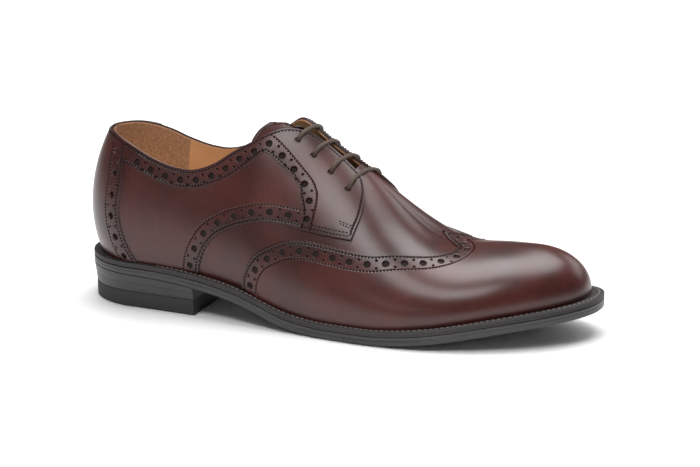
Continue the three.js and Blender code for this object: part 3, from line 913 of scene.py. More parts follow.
def collar_low(station, side):
    """Rise of the collar's lower edge; on either side it keeps its distance from the topline."""
    drop = read(TOPLINES[-1], "rise", station) - read(TOPLINES[side], "rise", station)
    return read(COLLAR_LOW, "rise", station) - drop


STRIP_BACK, STRIP_LOW_END, STRIP_TIP = 0.06, 0.385, 0.46  # stations along the strip's lower edge
STRIP_INNER = (0.66, 0.36)  # rises between which the strip turns down behind the facing


def strip_lines(side):
    """Edges of the collar and facing strip."""
    start = STRIP_BACK
    back = np.linspace(float(read(TOPLINES[side], "rise", start)), float(collar_low(start, side)), 20)
    low = np.linspace(start, STRIP_LOW_END, 200)
    down = np.linspace(*STRIP_INNER, 140)
    plain = np.linspace(STRIP_TIP, CORNER[side][0], 90)
    front = np.linspace(CORNER[side][1], FACING_JOIN_RISE, 90)
    names = ("back", "low", "inner", "tip", "front", "top")
    paths = meet([
        on_pillow(start, back, side),
        on_pillow(low, collar_low(low, side), side),
        on_pillow(read(FACING_BACK, "station", down, "rise"), down, side),
        on_pillow(plain, read(QUARTER_FOOT, "rise", plain), side),
        on_pillow(facing_front(front, side), front, side),
        topline(FACING_JOIN[side], start, side),
    ])
    return dict(zip(names, paths))


def inward(layout, paths, side, distance):
    """Paths of the lateral order moved in from their piece's edge; distance may differ from path to path."""
    distances = [distance] * len(paths) if np.isscalar(distance) else list(distance)
    if side > 0:
        distances = distances[::-1]
    moved = offset_paths(layout, flow(paths, side), distances)
    return flow(moved, side)


def rim_line(layout, segments, distance):
    """A line that keeps one distance from a cornered edge: round outer corners, sharp inner ones."""
    parts = []
    for k, path in enumerate(segments):
        parts.append(shifted(layout, path, distance))
        if k + 1 < len(segments):
            corner = path[-1]
            before = leftward(layout, path)[-1]
            after = leftward(layout, segments[k + 1])[0]
            for share in np.linspace(0.1, 0.9, 9):
                way = unit(before * (1 - share) + after * share)
                parts.append(step(layout, step(layout, corner[None], way * distance / 2), way * distance / 2))
    line = np.vstack(parts)
    tree = nearest_tree(look(layout, resample(layout, join(segments), pitch=0.5))[0])
    away = np.array([tree.find(tuple(p))[2] for p in look(layout, line)[0]])
    line = line[away > 0.965 * distance]
    return resample(layout, line, pitch=0.8)


def join(paths):
    return np.vstack([p if k == 0 else p[1:] for k, p in enumerate(paths)])


def cut_run(layout, path, low, high):
    """The part of a path between two distances along it."""
    run = lengths(layout, path)
    want = np.linspace(low, high if high > 0 else run[-1] + high, max(8, int(abs(run[-1]) / 1.5)))
    return at_run(want, run, path)


# ---------------------------------------------------------------------------------------------
# Broguing
class Broguing:
    """Punched holes on one piece, gathered path by path."""

    def __init__(self, brogue):
        self.brogue = brogue
        self.holes = []

    def row(self, layout, path, first=0.0, last=0.0, count=None, skip=0):
        """Large holes at even steps along a path, with a pair of small ones between each two."""
        run = lengths(layout, path)
        low, high = first, run[-1] - last
        count = count or max(1, round((high - low) / (self.brogue.pitch * MM)))
        at = low + np.arange(2 * count + 1) * (high - low) / (2 * count)
        chart = at_run(at, run, path)
        side = leftward(layout, chart)
        self.holes += [(centre, self.brogue.large * MM / 2) for centre in chart[2 * skip :: 2]]
        for sign in (-1, 1):
            pair = step(layout, chart[1::2], side[1::2] * sign * self.brogue.spread * MM)
            self.holes += [(centre, self.brogue.small * MM / 2) for centre in pair]
        return self

    def back(self, layout, name, height, sides=10):
        """Dark discs at the bottom of the holes: painted shade over the leather seen through them."""
        points, faces, normals = [], [], []
        for centre, radius in self.holes:
            ring, _ = hole_ring(layout, centre, 1.15 * radius, sides)
            faces.append(tuple(range(len(points), len(points) + sides)))
            points += list(place(layout, ring, height))
            normals += list(look(layout, ring)[2])
        # painted shade: dark matte discs stand in for the shade inside each hole
        dark = material("brogue_backing", plain, self.brogue.backing, 0.9, grain=0.00005)
        return add_mesh(name, points, faces, [dark], normals=normals)


MM = 1000.0  # settings are kept in metres, and the shoe is worked out in millimetres


# ---------------------------------------------------------------------------------------------
# Stitches
STITCH_BOW, STITCH_SIDES = 0.12, 6


def capsules(name, starts, ends, ups, radius, material):
    """Many short stitches as one mesh; each one bows up in its middle and dives at its ends."""
    along = ends - starts
    direction = unit(along)
    across = unit(np.cross(ups, direction))
    up = np.cross(direction, across)
    shares = np.array([0.0, 0.12, 0.35, 0.65, 0.88, 1.0])
    size = np.array([0.25, 0.8, 1.0, 1.0, 0.8, 0.25])
    height = STITCH_BOW * (1 - (2 * shares - 1) ** 2) * 2 - STITCH_BOW
    sides = STITCH_SIDES
    angle = 2 * np.pi * np.arange(sides) / sides
    count = len(starts)
    rings = []
    for share, scale, high in zip(shares, size, height):
        centre = starts + along * share + up * high
        for a in angle:
            rings.append(centre + radius * scale * (np.cos(a) * across + 0.8 * np.sin(a) * up))
    points = np.stack(rings, 1).reshape(-1, 3)
    per = len(shares) * sides
    faces = []
    for k in range(len(shares) - 1):
        for m in range(sides):
            n = (m + 1) % sides
            faces.append((k * sides + m, k * sides + n, (k + 1) * sides + n, (k + 1) * sides + m))
    faces = np.array(faces)
    every = (faces[None] + per * np.arange(count)[:, None, None]).reshape(-1, 4)
    return add_mesh(name, points, every, [material])


class Sewing:
    """Rows of stitches gathered for one mesh."""

    def __init__(self, stitch):
        self.stitch = stitch
        self.starts, self.ends, self.ups = [], [], []

    def row(self, layout, path, height):
        chart = resample(layout, path, pitch=self.stitch.pitch * MM)
        share = self.stitch.length / self.stitch.pitch
        a = chart[:-1] * (0.5 + share / 2) + chart[1:] * (0.5 - share / 2)
        b = chart[:-1] * (0.5 - share / 2) + chart[1:] * (0.5 + share / 2)
        self.starts.append(place(layout, a, height(a) if callable(height) else height))
        self.ends.append(place(layout, b, height(b) if callable(height) else height))
        self.ups.append(look(layout, (a + b) / 2)[2])
        return self

    def make(self, name, material, slot):
        starts, ends, ups = (np.vstack(x) for x in (self.starts, self.ends, self.ups))
        piece = capsules(name, starts, ends, ups, self.stitch.thickness * MM / 2, material)
        return piece


# ---------------------------------------------------------------------------------------------
# Materials
def linear(red, green, blue):
    """A colour given as 0-255 display values."""
    out = []
    for value in (red, green, blue):
        v = value / 255
        out.append(v / 12.92 if v <= 0.04045 else ((v + 0.055) / 1.055) ** 2.4)
    return tuple(out)


SHADER_SOCKETS = {
    "coat_weight": "Coat Weight",
    "coat_roughness": "Coat Roughness",
    "specular_ior_level": "Specular IOR Level",
    "sheen_weight": "Sheen Weight",
    "sheen_roughness": "Sheen Roughness",
}
BURNISH_WIDTH = 9.0


class Nodes:
    """Short names for building one material."""

    def __init__(self, name):
        self.material = bpy.data.materials.new(name)
        self.material.use_nodes = True
        self.tree = self.material.node_tree
        self.shader = self.tree.nodes["Principled BSDF"]
        self.place = self.add("ShaderNodeTexCoord").outputs["Object"]

    def add(self, kind, **settings):
        node = self.tree.nodes.new(kind)
        for key, value in settings.items():
            setattr(node, key, value)
        return node

    def link(self, source, target):
        self.tree.links.new(source, target)

    def noise(self, scale, detail=2.0, roughness=0.5, stretch=None):
        node = self.add("ShaderNodeTexNoise")
        node.inputs["Scale"].default_value = scale
        node.inputs["Detail"].default_value = detail
        node.inputs["Roughness"].default_value = roughness
        source = self.place
        if stretch:
            mapping = self.add("ShaderNodeMapping")
            mapping.inputs["Scale"].default_value = stretch
            self.link(self.place, mapping.inputs["Vector"])
            source = mapping.outputs["Vector"]
        self.link(source, node.inputs["Vector"])
        return node.outputs["Fac"]

    def ramp(self, source, stops):
        node = self.add("ShaderNodeValToRGB")
        ramp = node.color_ramp
        while len(ramp.elements) < len(stops):
            ramp.elements.new(0.5)
        for element, (at, colour) in zip(ramp.elements, stops):
            element.position = at
            element.color = (*colour, 1.0)
        self.link(source, node.inputs["Fac"])
        return node.outputs["Color"]

    def spread(self, source, low, high, to_low, to_high):
        node = self.add("ShaderNodeMapRange", interpolation_type="SMOOTHSTEP")
        for key, value in zip(("From Min", "From Max", "To Min", "To Max"), (low, high, to_low, to_high)):
            node.inputs[key].default_value = value
        self.link(source, node.inputs["Value"])
        return node.outputs["Result"]

    def attribute(self, name):
        return self.add("ShaderNodeAttribute", attribute_name=name).outputs["Fac"]

    def mix(self, factor, first, second, kind="MIX"):
        node = self.add("ShaderNodeMix", data_type="RGBA", blend_type=kind)
        for socket, value in (("Factor", factor), ("A", first), ("B", second)):
            named = [s for s in node.inputs if s.name == socket]
            target = named[0] if socket == "Factor" else [s for s in named if s.type == "RGBA"][0]
            if hasattr(value, "is_output"):
                self.link(value, target)
            elif socket == "Factor":
                target.default_value = value
            else:
                target.default_value = (*value, 1.0)
        return [o for o in node.outputs if o.type == "RGBA"][0]

    def bump(self, source, distance, below=None):
        node = self.add("ShaderNodeBump")
        node.inputs["Distance"].default_value = distance
        self.link(source, node.inputs["Height"])
        if below:
            self.link(below, node.inputs["Normal"])
        return node.outputs["Normal"]

    def finish(self, colour, roughness, normal=None, coat_normal=None, **values):
        for key, value in (("Base Color", colour), ("Roughness", roughness), ("Normal", normal)):
            if value is None:
                continue
            if hasattr(value, "is_output"):
                self.link(value, self.shader.inputs[key])
            elif key == "Base Color":
                self.shader.inputs[key].default_value = (*value, 1.0)
            else:
                self.shader.inputs[key].default_value = value
        if coat_normal:
            self.link(coat_normal, self.shader.inputs["Coat Normal"])
        for key, value in values.items():
            self.shader.inputs[SHADER_SOCKETS[key]].default_value = value
        return self.material


def polished_leather(name, finish):
    """Smooth calf leather: clouded brown, darker towards cut edges, under a thin wax polish."""
    m = Nodes(name)
    cloud = m.noise(26.0, 3.0, 0.55)
    base = m.ramp(cloud, [(0.3, tuple(finish.deep)), (0.7, tuple(finish.bright))])
    fine = m.spread(m.noise(420.0, 2.0), 0.3, 0.7, 0.9, 1.08)
    grey = m.add("ShaderNodeCombineColor")
    for k in range(3):
        m.link(fine, grey.inputs[k])
    shade = m.mix(1.0, base, grey.outputs["Color"], "MULTIPLY")
    burnish = m.spread(m.attribute("edge"), 0.0, BURNISH_WIDTH, finish.burnish, 0.0)
    colour = m.mix(burnish, shade, tuple(finish.burnished))
    sink = m.spread(m.attribute("channel"), 0.0, 1.0, 1.0, 0.0)
    soft = m.bump(m.noise(38.0, 2.0, 0.45), finish.wave)
    grain = m.bump(m.noise(1500.0, 3.0, 0.6), finish.grain, soft)
    pores = m.bump(m.noise(520.0, 2.0, 0.5), finish.grain, grain)
    normal = m.bump(sink, finish.row_depth, pores)
    rough = m.spread(cloud, 0.3, 0.7, finish.roughness - 0.03, finish.roughness + 0.04)
    return m.finish(
        colour,
        rough,
        normal,
        coat_normal=m.bump(sink, finish.row_depth, soft),
        coat_weight=finish.coat,
        coat_roughness=finish.coat_roughness,
        specular_ior_level=finish.sheen,
    )


def suede(name, finish):
    """Napped leather: mottled, soft and without gloss."""
    m = Nodes(name)
    mottle = [(0.35, tuple(finish.suede_dark)), (0.65, tuple(finish.suede_light))]
    base = m.ramp(m.noise(900.0, 6.0, 0.75), mottle)
    nap = m.bump(m.noise(1300.0, 5.0, 0.7), 0.0005)
    return m.finish(base, 0.95, nap, sheen_weight=0.3, sheen_roughness=0.5)


def lining_leather(name, finish):
    """Thin smooth vegetable-tanned leather."""
    m = Nodes(name)
    base = m.ramp(m.noise(34.0, 3.0), [(0.3, tuple(finish.smooth_dark)), (0.7, tuple(finish.smooth_light))])
    return m.finish(base, 0.5, m.bump(m.noise(1100.0, 2.0), 0.00006, m.bump(m.noise(45.0), 0.0006)))


def pressed_leather(name, colour, roughness=0.42):
    """Inked and waxed edge of stacked leather, with fine streaks along it."""
    m = Nodes(name)
    streak = m.noise(90.0, 4.0, 0.6, stretch=(0.6, 0.6, 9.0))
    base = m.ramp(streak, [(0.3, tuple(0.7 * c for c in colour)), (0.7, tuple(colour))])
    normal = m.bump(streak, 0.00018, m.bump(m.noise(700.0, 3.0), 0.00005))
    rough = m.spread(streak, 0.3, 0.7, roughness - 0.05, roughness + 0.08)
    return m.finish(base, rough, normal)


def plain(name, colour, roughness, grain=0.00002, **values):
    """A plain finish with a slight mottle and grain."""
    m = Nodes(name)
    base = m.ramp(m.noise(600.0, 3.0), [(0.3, tuple(0.85 * c for c in colour)), (0.7, tuple(colour))])
    return m.finish(base, roughness, m.bump(m.noise(1400.0, 3.0), grain), **values)


def waxed_cotton(name, finish):
    """Round braid of waxed cotton, from the run along the lace and the angle round it; darker towards the
    braid's hollows as painted shade.
    """
    m = Nodes(name)
    along, around = m.attribute("along"), m.attribute("around")
    waves = []
    for sign in (1, -1):
        turn = m.add("ShaderNodeMath", operation="MULTIPLY_ADD")
        m.link(around, turn.inputs[0])
        turn.inputs[1].default_value = 4.0 * sign
        run = m.add("ShaderNodeMath", operation="MULTIPLY")
        m.link(along, run.inputs[0])
        run.inputs[1].default_value = 3.6
        m.link(run.outputs[0], turn.inputs[2])
        wave = m.add("ShaderNodeMath", operation="SINE")
        m.link(turn.outputs[0], wave.inputs[0])
        waves.append(wave.outputs[0])
    braid = m.add("ShaderNodeMath", operation="MAXIMUM")
    m.link(waves[0], braid.inputs[0])
    m.link(waves[1], braid.inputs[1])
    height = m.spread(braid.outputs[0], -1.0, 1.0, 0.0, 1.0)
    # painted shade: the colour darkens towards the hollows between the strands
    base = m.ramp(height, [(0.25, tuple(finish.dark)), (0.9, tuple(finish.light))])
    normal = m.bump(height, 0.00025, m.bump(m.noise(1800.0, 2.0), 0.00008))
    return m.finish(base, 0.6, normal)


# ---------------------------------------------------------------------------------------------
# Settings shown in the panel
def length(name, description, default):
    return bpy.props.FloatProperty(
        name=name, description=description, default=default, min=0, precision=5,
        subtype="DISTANCE", unit="LENGTH",
    )


def share(name, description, default):
    return bpy.props.FloatProperty(
        name=name, description=description, default=default, min=0, max=1, subtype="FACTOR"
    )


def colour(name, description, *display):
    return bpy.props.FloatVectorProperty(
        name=name, description=description, default=linear(*display), size=3, min=0, max=1, subtype="COLOR"
    )


def power(name, description, default):
    return bpy.props.FloatProperty(
        name=name, description=description, default=default, min=0, subtype="POWER", unit="POWER"
    )


class ShoeLeather(bpy.types.PropertyGroup):
    deep: colour("Deep brown", "Darker tone of the polished leather", 48, 16, 11)
    bright: colour("Red brown", "Lighter tone of the polished leather", 76, 25, 18)
    burnished: colour("Burnished brown", "Tone that cut edges are darkened to", 18, 8, 7)
    burnish: share("Burnish", "How dark the leather is along a cut edge", 0.5)
    roughness: share("Roughness", "Roughness of the leather", 0.34)
    coat: share("Polish", "Weight of the wax polish", 0.22)
    coat_roughness: share("Polish roughness", "Roughness of the wax polish", 0.24)
    sheen: share("Reflection", "Strength of the leather's reflection", 0.5)
    wave: length("Waviness", "Soft unevenness of the leather", 0.0003)
    grain: length("Grain", "Depth of the grain", 0.00003)
    row_depth: length("Seam depth", "How far a row of stitches sinks in", 0.0003)


class ShoeLining(bpy.types.PropertyGroup):
    suede_dark: colour("Suede, dark", "Darker tone of the heel grip", 152, 114, 82)
    suede_light: colour("Suede, light", "Lighter tone of the heel grip", 214, 174, 134)
    smooth_dark: colour("Lining, dark", "Darker tone of the smooth lining", 210, 164, 118)
    smooth_light: colour("Lining, light", "Lighter tone of the smooth lining", 228, 184, 138)
    fold: colour("Folded edge", "Cut edge of the lining at the topline", 120, 78, 46)
    grip_front: share("Heel grip", "Where the suede ends, as a share of the sole's length", 0.15)


class ShoeBroguing(bpy.types.PropertyGroup):
    large: length("Large hole", "Diameter of a large hole", 0.004)
    small: length("Small hole", "Diameter of a small hole", 0.0015)
    pitch: length("Hole pitch", "Distance between large holes", 0.0103)
    spread: length("Pair spread", "From the middle line to a small hole", 0.0022)
    outer_row: length("Outer row", "From the pinked edge to the outer stitches", 0.0022)
    middle: length("Hole line", "From the pinked edge to the line of holes", 0.0062)
    inner_row: length("Inner row", "From the pinked edge to the inner stitches", 0.0102)
    # colour of the painted shade discs at the bottom of the holes
    backing: colour("Hole backing", "What is seen at the bottom of the holes", 36, 24, 22)


class ShoeStitches(bpy.types.PropertyGroup):
    pitch: length("Stitch pitch", "Distance between stitches", 0.0019)
    length: length("Stitch length", "Length of one stitch", 0.0012)
    thickness: length("Thread", "Thickness of the thread", 0.00075)
    thread: colour("Thread colour", "Colour of the upper's thread", 14, 7, 7)


class ShoeLacing(bpy.types.PropertyGroup):
    diameter: length("Lace", "Diameter of the round lace", 0.0026)
    eyelet: length("Eyelet", "Diameter of a lace hole", 0.0036)
    # dark: painted shade in the hollows of the braid
    dark: colour("Lace, dark", "Tone in the hollows of the braid", 34, 25, 20)
    light: colour("Lace, light", "Tone on the strands of the braid", 84, 66, 54)


class ShoeSole(bpy.types.PropertyGroup):
    edge: colour("Sole edge", "Inked edge of the outsole and the heel lifts", 62, 60, 60)
    welt: colour("Welt", "Inked leather of the welt", 26, 23, 23)
    rubber: colour("Heel rubber", "Rubber of the heel's top piece", 60, 59, 60)
    thread: colour("Welt thread", "Thread of the welt's stitches", 128, 122, 118)
    stitch_pitch: length("Welt pitch", "Distance between the welt's stitches", 0.0031)
    stitch_length: length("Welt stitch", "Length of one of the welt's stitches", 0.0021)
    stitch_thickness: length("Welt thread", "Thickness of the welt's thread", 0.00084)


class ShoeStudio(bpy.types.PropertyGroup):
    overhead: power("Overhead", "Power of the softbox over and behind the shoe", 18.0)
    facing: power("Facing", "Power of the small softbox before the facing", 0.85)
    front: power("Front", "Power of the low softbox in front", 0.95)
    toe: power("Toe", "Power of the softbox beyond the toe", 3.0)
    back: power("Back", "Power of the softbox over the far floor", 26.0)
    surround: share("Surround", "Strength of the pale surround", 0.17)
    paper: colour("Floor", "Colour of the paper floor", 244, 244, 244)


def group(kind, name, description):
    return bpy.props.PointerProperty(type=kind, name=name, description=description)


class ShoeSettings(bpy.types.PropertyGroup):
    leather: group(ShoeLeather, "Leather", "Finish of the polished leather")
    lining: group(ShoeLining, "Lining", "Finish of the lining and the heel grip")
    brogue: group(ShoeBroguing, "Broguing", "Sizes of the punched holes and their stitch rows")
    stitch: group(ShoeStitches, "Stitches", "Stitches of the upper")
    lacing: group(ShoeLacing, "Lacing", "Lace and lace holes")
    sole: group(ShoeSole, "Sole", "Welt, outsole and heel")
    studio: group(ShoeStudio, "Studio", "Floor and lights")


def settings():
    return bpy.context.scene.shoe


def material(name, make, *details, **more):
    """A material made once and then shared."""
    return bpy.data.materials.get(name) or make(name, *details, **more)


def brown_leather():
    return material("polished_brown_leather", polished_leather, settings().leather)


def tan_lining():
    return material("tan_lining_leather", lining_leather, settings().lining)


def thread():
    return material("brown_thread", plain, settings().stitch.thread, 0.8, specular_ior_level=0.15)


def skin(name, part, materials, looks, replaces=()):
    return add_mesh(
        name,
        part["points"],
        part["faces"],
        materials,
        looks=looks,
        normals=part["normals"],
        values=part["values"],
        replaces=replaces,
    )


# Heights of the layers over the last
VAMP_FACE = GAP
QUARTER_FACE = OVERLAY_FACE
STRIP_FACE = OVERLAY_FACE + STRIP_RISE
COUNTER_FACE = STRIP_FACE + 0.3
# The painted shade discs at the bottom of the brogue holes lie at this height
SHADE_DISC_HEIGHT = 0.45  # over the last: just above the layer below
TOP_ROW = 1.7  # row of stitches in from the topline
FOLD = 3.2  # the collar thins towards the topline over this width
FOLD_DROP, UPPER_FOLD_DROP = 0.8, 0.25


def thin_to(layout, path, width, drop):
    """A relief that thins a piece smoothly towards a path."""
    tree = nearest_tree(look(layout, path)[0])

    def relief(chart):
        spots = look(layout, chart)[0]
        away = np.array([tree.find(tuple(p))[2] for p in spots])
        return -drop * (1 - smoothstep(away, 0, width))

    return relief


def build_upper():
    arms = {side: topline(0.0, THROAT_END, side, 240) for side in (-1, 1)}
    across = np.stack(
        [np.full(30, arms[-1][-1][0]), np.linspace(arms[-1][-1][1], arms[1][-1][1], 30)], -1
    )
    heel = CHART_RISE * (1 - np.array([TOPLINES[1]["rise"][0], FOOT]))
    seam = np.linspace(heel[0], heel[1], 30)
    toe = np.linspace(CHART_RISE * (1 - FOOT), 0, 60)
    toe_line = np.concatenate([-toe, toe[::-1][1:]])
    end = CHART_TURN * np.pi
    feet = {side: foot_line(on_pillow, 0.0, 1.0, side, 400) for side in (-1, 1)}
    outline = [
        (np.stack([np.zeros(30), -seam], -1), SEAM),
        (feet[-1], SEAM),
        (np.stack([np.full(len(toe_line), end), toe_line], -1), SEAM),
        (feet[1][::-1], SEAM),
        (np.stack([np.zeros(30), seam[::-1]], -1), SEAM),
        (arms[1], EDGE),
        (across[::-1], EDGE),
        (arms[-1][::-1], EDGE),
    ]
    lining = settings().lining
    grip = []
    for side in (-1, 1):
        rise = np.linspace(0.005, float(read(TOPLINES[side], "rise", lining.grip_front)) - 0.01, 60)
        grip.append(on_pillow(lining.grip_front, rise, side))
    top = np.vstack([arms[-1], arms[1]])
    part = panel(
        pillow,
        outline,
        VAMP_FACE,
        -UPPER_WALL,
        cuts=grip,
        lining=True,
        relief=thin_to(pillow, top, FOLD, VAMP_FACE + UPPER_FOLD_DROP),
    )
    kinds = part["part"].copy()
    lined = np.flatnonzero(kinds == 1)
    centre = np.array([part["points"][list(part["faces"][k])].mean(0)[0] for k in lined])
    seam_x = look(pillow, grip[0])[0][:, 0], look(pillow, grip[0])[0][:, 2]
    height = np.array([part["points"][list(part["faces"][k])].mean(0)[2] for k in lined])
    kinds[lined[centre < np.interp(height, seam_x[1], seam_x[0])]] = 3
    edge = material("folded_edge_leather", plain, lining.fold, 0.6)
    napped = material("suede_heel_grip", suede, lining)
    skin("upper_leather", part, [brown_leather(), tan_lining(), edge, napped], kinds, ["upper"])


TONGUE_END, TONGUE_SLANT, TONGUE_FRONT, TONGUE_SIDE, SAG_FULL = 0.305, 0.06, 0.62, 0.7, 0.94
TONGUE_ROW = 2.4  # row of stitches in from the tongue's end
TONGUE_SAG = table(
    ("station", "depth"),
    [
        (0.3, 1.2), (0.34, 3.0), (0.38, 6.0), (0.42, 5.0), (0.46, 4.2), (0.5, 4.0), (0.54, 3.0),
        (0.59, 0.3), (0.62, 0.0),
    ],
)


def tongue_sag(chart):
    turn, rise = pillow(chart)
    depth = np.maximum(read(TONGUE_SAG, "depth", station_at(turn)), 0)
    return -depth * smoothstep(rise, TONGUE_SIDE, SAG_FULL)


def build_tongue():
    end = CHART_RISE * (1 - TONGUE_SIDE)
    rise = np.linspace(TONGUE_SIDE, 1, 50)
    station = TONGUE_END + TONGUE_SLANT * (1 - rise)
    half = {side: on_pillow(station, rise, side) for side in (-1, 1)}
    back = np.vstack([half[1], half[-1][::-1][1:]])
    back = cut_corners(back, 7)
    front_x = CHART_TURN * turn_at(TONGUE_FRONT)
    lateral = np.stack([np.linspace(back[-1, 0], front_x, 90), np.full(90, -end)], -1)
    front = np.stack([np.full(40, front_x), np.linspace(-end, end, 40)], -1)
    medial = np.stack([np.linspace(front_x, back[0, 0], 90), np.full(90, end)], -1)
    outline = [(lateral, EDGE), (front, SEAM), (medial, EDGE), (back, EDGE)]
    row = shifted(pillow, resample(pillow, back, pitch=1.5), TONGUE_ROW)[3:-3]
    part = panel(
        pillow,
        outline,
        TONGUE_FACE,
        TONGUE_FACE - TONGUE_THICKNESS,
        lining=True,
        lift=tongue_sag,
        grooves=[row],
    )
    skin("tongue_leather", part, [brown_leather(), tan_lining(), brown_leather()], part["part"], ["tongue"])
    sewing = Sewing(settings().stitch)
    sewing.row(pillow, row, lambda chart: TONGUE_FACE + tongue_sag(chart))
    sewing.make("tongue_stitches", thread(), "upper_leather")


def cut_corners(path, count):
    """Rounds a path's shape off a little by averaging neighbours."""
    padded = np.vstack([np.repeat(path[:1], count, 0), path, np.repeat(path[-1:], count, 0)])
    kernel = np.ones(2 * count + 1) / (2 * count + 1)
    smooth = np.stack([np.convolve(padded[:, k], kernel, "valid") for k in (0, 1)], -1)
    smooth[0], smooth[-1] = path[0], path[-1]
    return smooth


COLLAR_HOLES_FROM = 0.115  # station of the first hole along the collar
HOLES_RISE, BAND_RISE = (0.38, 0.71), (0.39, 0.79)  # rises between which the facing's lines run


def side_pattern(side):
    """Edges, stitch rows and hole lines of one side."""
    brogue = settings().brogue
    quarter, strip = quarter_lines(side), strip_lines(side)
    outer, middle, inner = (d * MM for d in (brogue.outer_row, brogue.middle, brogue.inner_row))
    low_edge = join([quarter["low"], quarter["tip"]])
    at = np.linspace(*HOLES_RISE, 90)
    facing_holes = on_pillow(read(FACING_HOLES, "station", at, "rise"), at, side)[::-1]
    at = np.linspace(*BAND_RISE, 90)
    facing_out = on_pillow(read(FACING_OUT, "station", at, "rise"), at, side)[::-1]
    collar_holes = inward(pillow, [strip["top"]], side, middle)[0][::-1]
    low_holes = inward(pillow, [low_edge], side, middle)[0]
    low_inner = inward(pillow, [low_edge], side, inner)[0]
    start = np.argmin(np.abs(station_at(pillow(collar_holes)[0]) - COLLAR_HOLES_FROM))
    collar_holes, facing_holes = cut_at(collar_holes[start:], facing_holes)
    facing_holes, low_holes = cut_both(facing_holes, low_holes)
    rows = {
        "low_outer": inward(pillow, [quarter["low"]], side, outer)[0],
        "low_inner": cut_both(low_inner, strip["inner"])[0],
    }
    rows["collar"], rows["facing"] = inward(pillow, [strip["low"], strip["inner"]], side, [outer, 1.2])
    top_row = inward(pillow, [strip["top"]], side, TOP_ROW)[0][::-1]
    rows["band"] = cut_both(cut_at(top_row, facing_out)[1], low_edge)[0]
    return quarter, strip, rows, low_holes, collar_holes, facing_holes


def cut_at(first, second):
    """The first path up to where it meets the second, and the second from there on."""
    found = crossing(first, second)
    if found is None:
        return first, second
    i, j, point = found
    return np.vstack([first[: i + 1], point]), np.vstack([point, second[j + 1 :]])


def cut_both(first, second):
    """Both paths up to where they meet."""
    found = crossing(first, second)
    if found is None:
        return first, second
    i, j, point = found
    return np.vstack([first[: i + 1], point]), np.vstack([second[: j + 1], point])


TACK_ROWS = (((0.554, 0.510), (0.583, 0.523)), ((0.557, 0.501), (0.580, 0.506)))  # bar tack: station, rise
COLLAR_COUNT, FACING_COUNT, LOW_COUNT = 9, 5, 8  # large holes in each run of a quarter
SECOND_ROW = 1.9  # between the two rows along the facing's tip


def build_quarters():
    leather = brown_leather()
    stitch = settings().stitch
    lacing = settings().lacing
    for side, name in ((-1, "lateral"), (1, "medial")):
        brogue = settings().brogue
        quarter, strip, rows, low_holes, collar_holes, facing_holes = side_pattern(side)
        on_strip = Broguing(brogue)
        on_strip.row(pillow, collar_holes, count=COLLAR_COUNT)
        on_strip.row(pillow, facing_holes, count=FACING_COUNT, skip=1)
        on_quarter = Broguing(brogue)
        on_quarter.row(pillow, low_holes[::-1], last=4.5, count=LOW_COUNT, skip=1)
        eyelets = [
            (on_pillow(s, r, side), lacing.eyelet * MM / 2) for s, r in zip(EYELETS[name], EYELETS["rise"])
        ]
        names = [(quarter["back"], EDGE, False), (quarter["foot"], SEAM, False), (quarter["low"], EDGE, True)]
        names += [(quarter[k], EDGE, False) for k in ("tip", "front", "top")]
        outline = close(pillow, names, side)
        thin = thin_to(pillow, quarter["top"], FOLD, FOLD_DROP)
        part = panel(
            pillow,
            outline,
            QUARTER_FACE,
            0.0,
            holes=on_quarter.holes + on_strip.holes + eyelets,
            grooves=[cut_run(pillow, rows[k], 1.5, -1.5) for k in ("low_outer", "low_inner")],
            relief=thin,
        )
        skin(f"quarter_{name}_leather", part, [leather], part["part"] * 0, [f"quarter_{name}"])
        on_quarter.holes += on_strip.holes
        # dark discs of painted shade in the holes
        on_quarter.back(pillow, f"quarter_{name}_hole_backing", SHADE_DISC_HEIGHT)

        names = [(strip[k], EDGE, k == "low") for k in ("back", "low", "inner", "tip", "front", "top")]
        top_rows = inward(pillow, [strip["tip"], strip["front"], strip["top"]], side, TOP_ROW)
        second = inward(pillow, [strip["tip"]], side, TOP_ROW + SECOND_ROW)[0]
        groove_rows = [
            cut_run(pillow, rows["collar"], 4, -1.2),
            cut_run(pillow, rows["facing"], 1.2, -1.5),
            cut_run(pillow, rows["band"], 2.5, -3.5),
            cut_run(pillow, join(top_rows[1:]), 2.5, -2.5),
        ]
        part = panel(
            pillow,
            close(pillow, names, side),
            STRIP_FACE,
            QUARTER_FACE - FOLD_DROP,
            holes=on_strip.holes + eyelets,
            spacing=2.6,
            bevel=0.25,
            grooves=groove_rows,
            relief=thin_to(pillow, strip["top"], FOLD, FOLD_DROP),
        )
        skin(f"collar_and_facing_{name}", part, [leather], part["part"] * 0)
        sewing = Sewing(stitch)
        for key in ("low_outer", "low_inner"):
            sewing.row(pillow, cut_run(pillow, rows[key], 1.0, -0.8), QUARTER_FACE)
        for key in ("collar", "facing", "band"):
            sewing.row(pillow, rows[key], STRIP_FACE)
        sewing.row(pillow, join(top_rows[:2]), STRIP_FACE).row(pillow, top_rows[2], STRIP_FACE - 0.25)
        sewing.row(pillow, cut_run(pillow, second, 6, -2.5), STRIP_FACE)
        for a, b in TACK_ROWS:
            share = np.linspace(0, 1, 12)
            tack = on_pillow(a[0] + (b[0] - a[0]) * share, a[1] + (b[1] - a[1]) * share, side)
            sewing.row(pillow, tack, STRIP_FACE)
        sewing.make(f"quarter_{name}_stitches", thread(), "upper_leather")


def close(layout, named, side):
    """A closed outline from (path, kind, pinked) rows of the lateral order, turned and pinked."""
    paths = [p for p, _, _ in named]
    kinds = [(k, z) for _, k, z in named]
    if side > 0:
        paths, kinds = [p[::-1] for p in reversed(paths)], kinds[::-1]
    out = []
    for path, (kind, zig) in zip(paths, kinds):
        path = pinked(layout, path) if zig else resample(layout, path, pitch=1.6)
        out.append([path, kind])
    for k in range(len(out)):
        out[(k + 1) % len(out)][0][0] = out[k][0][-1]
    return [tuple(o) for o in out]


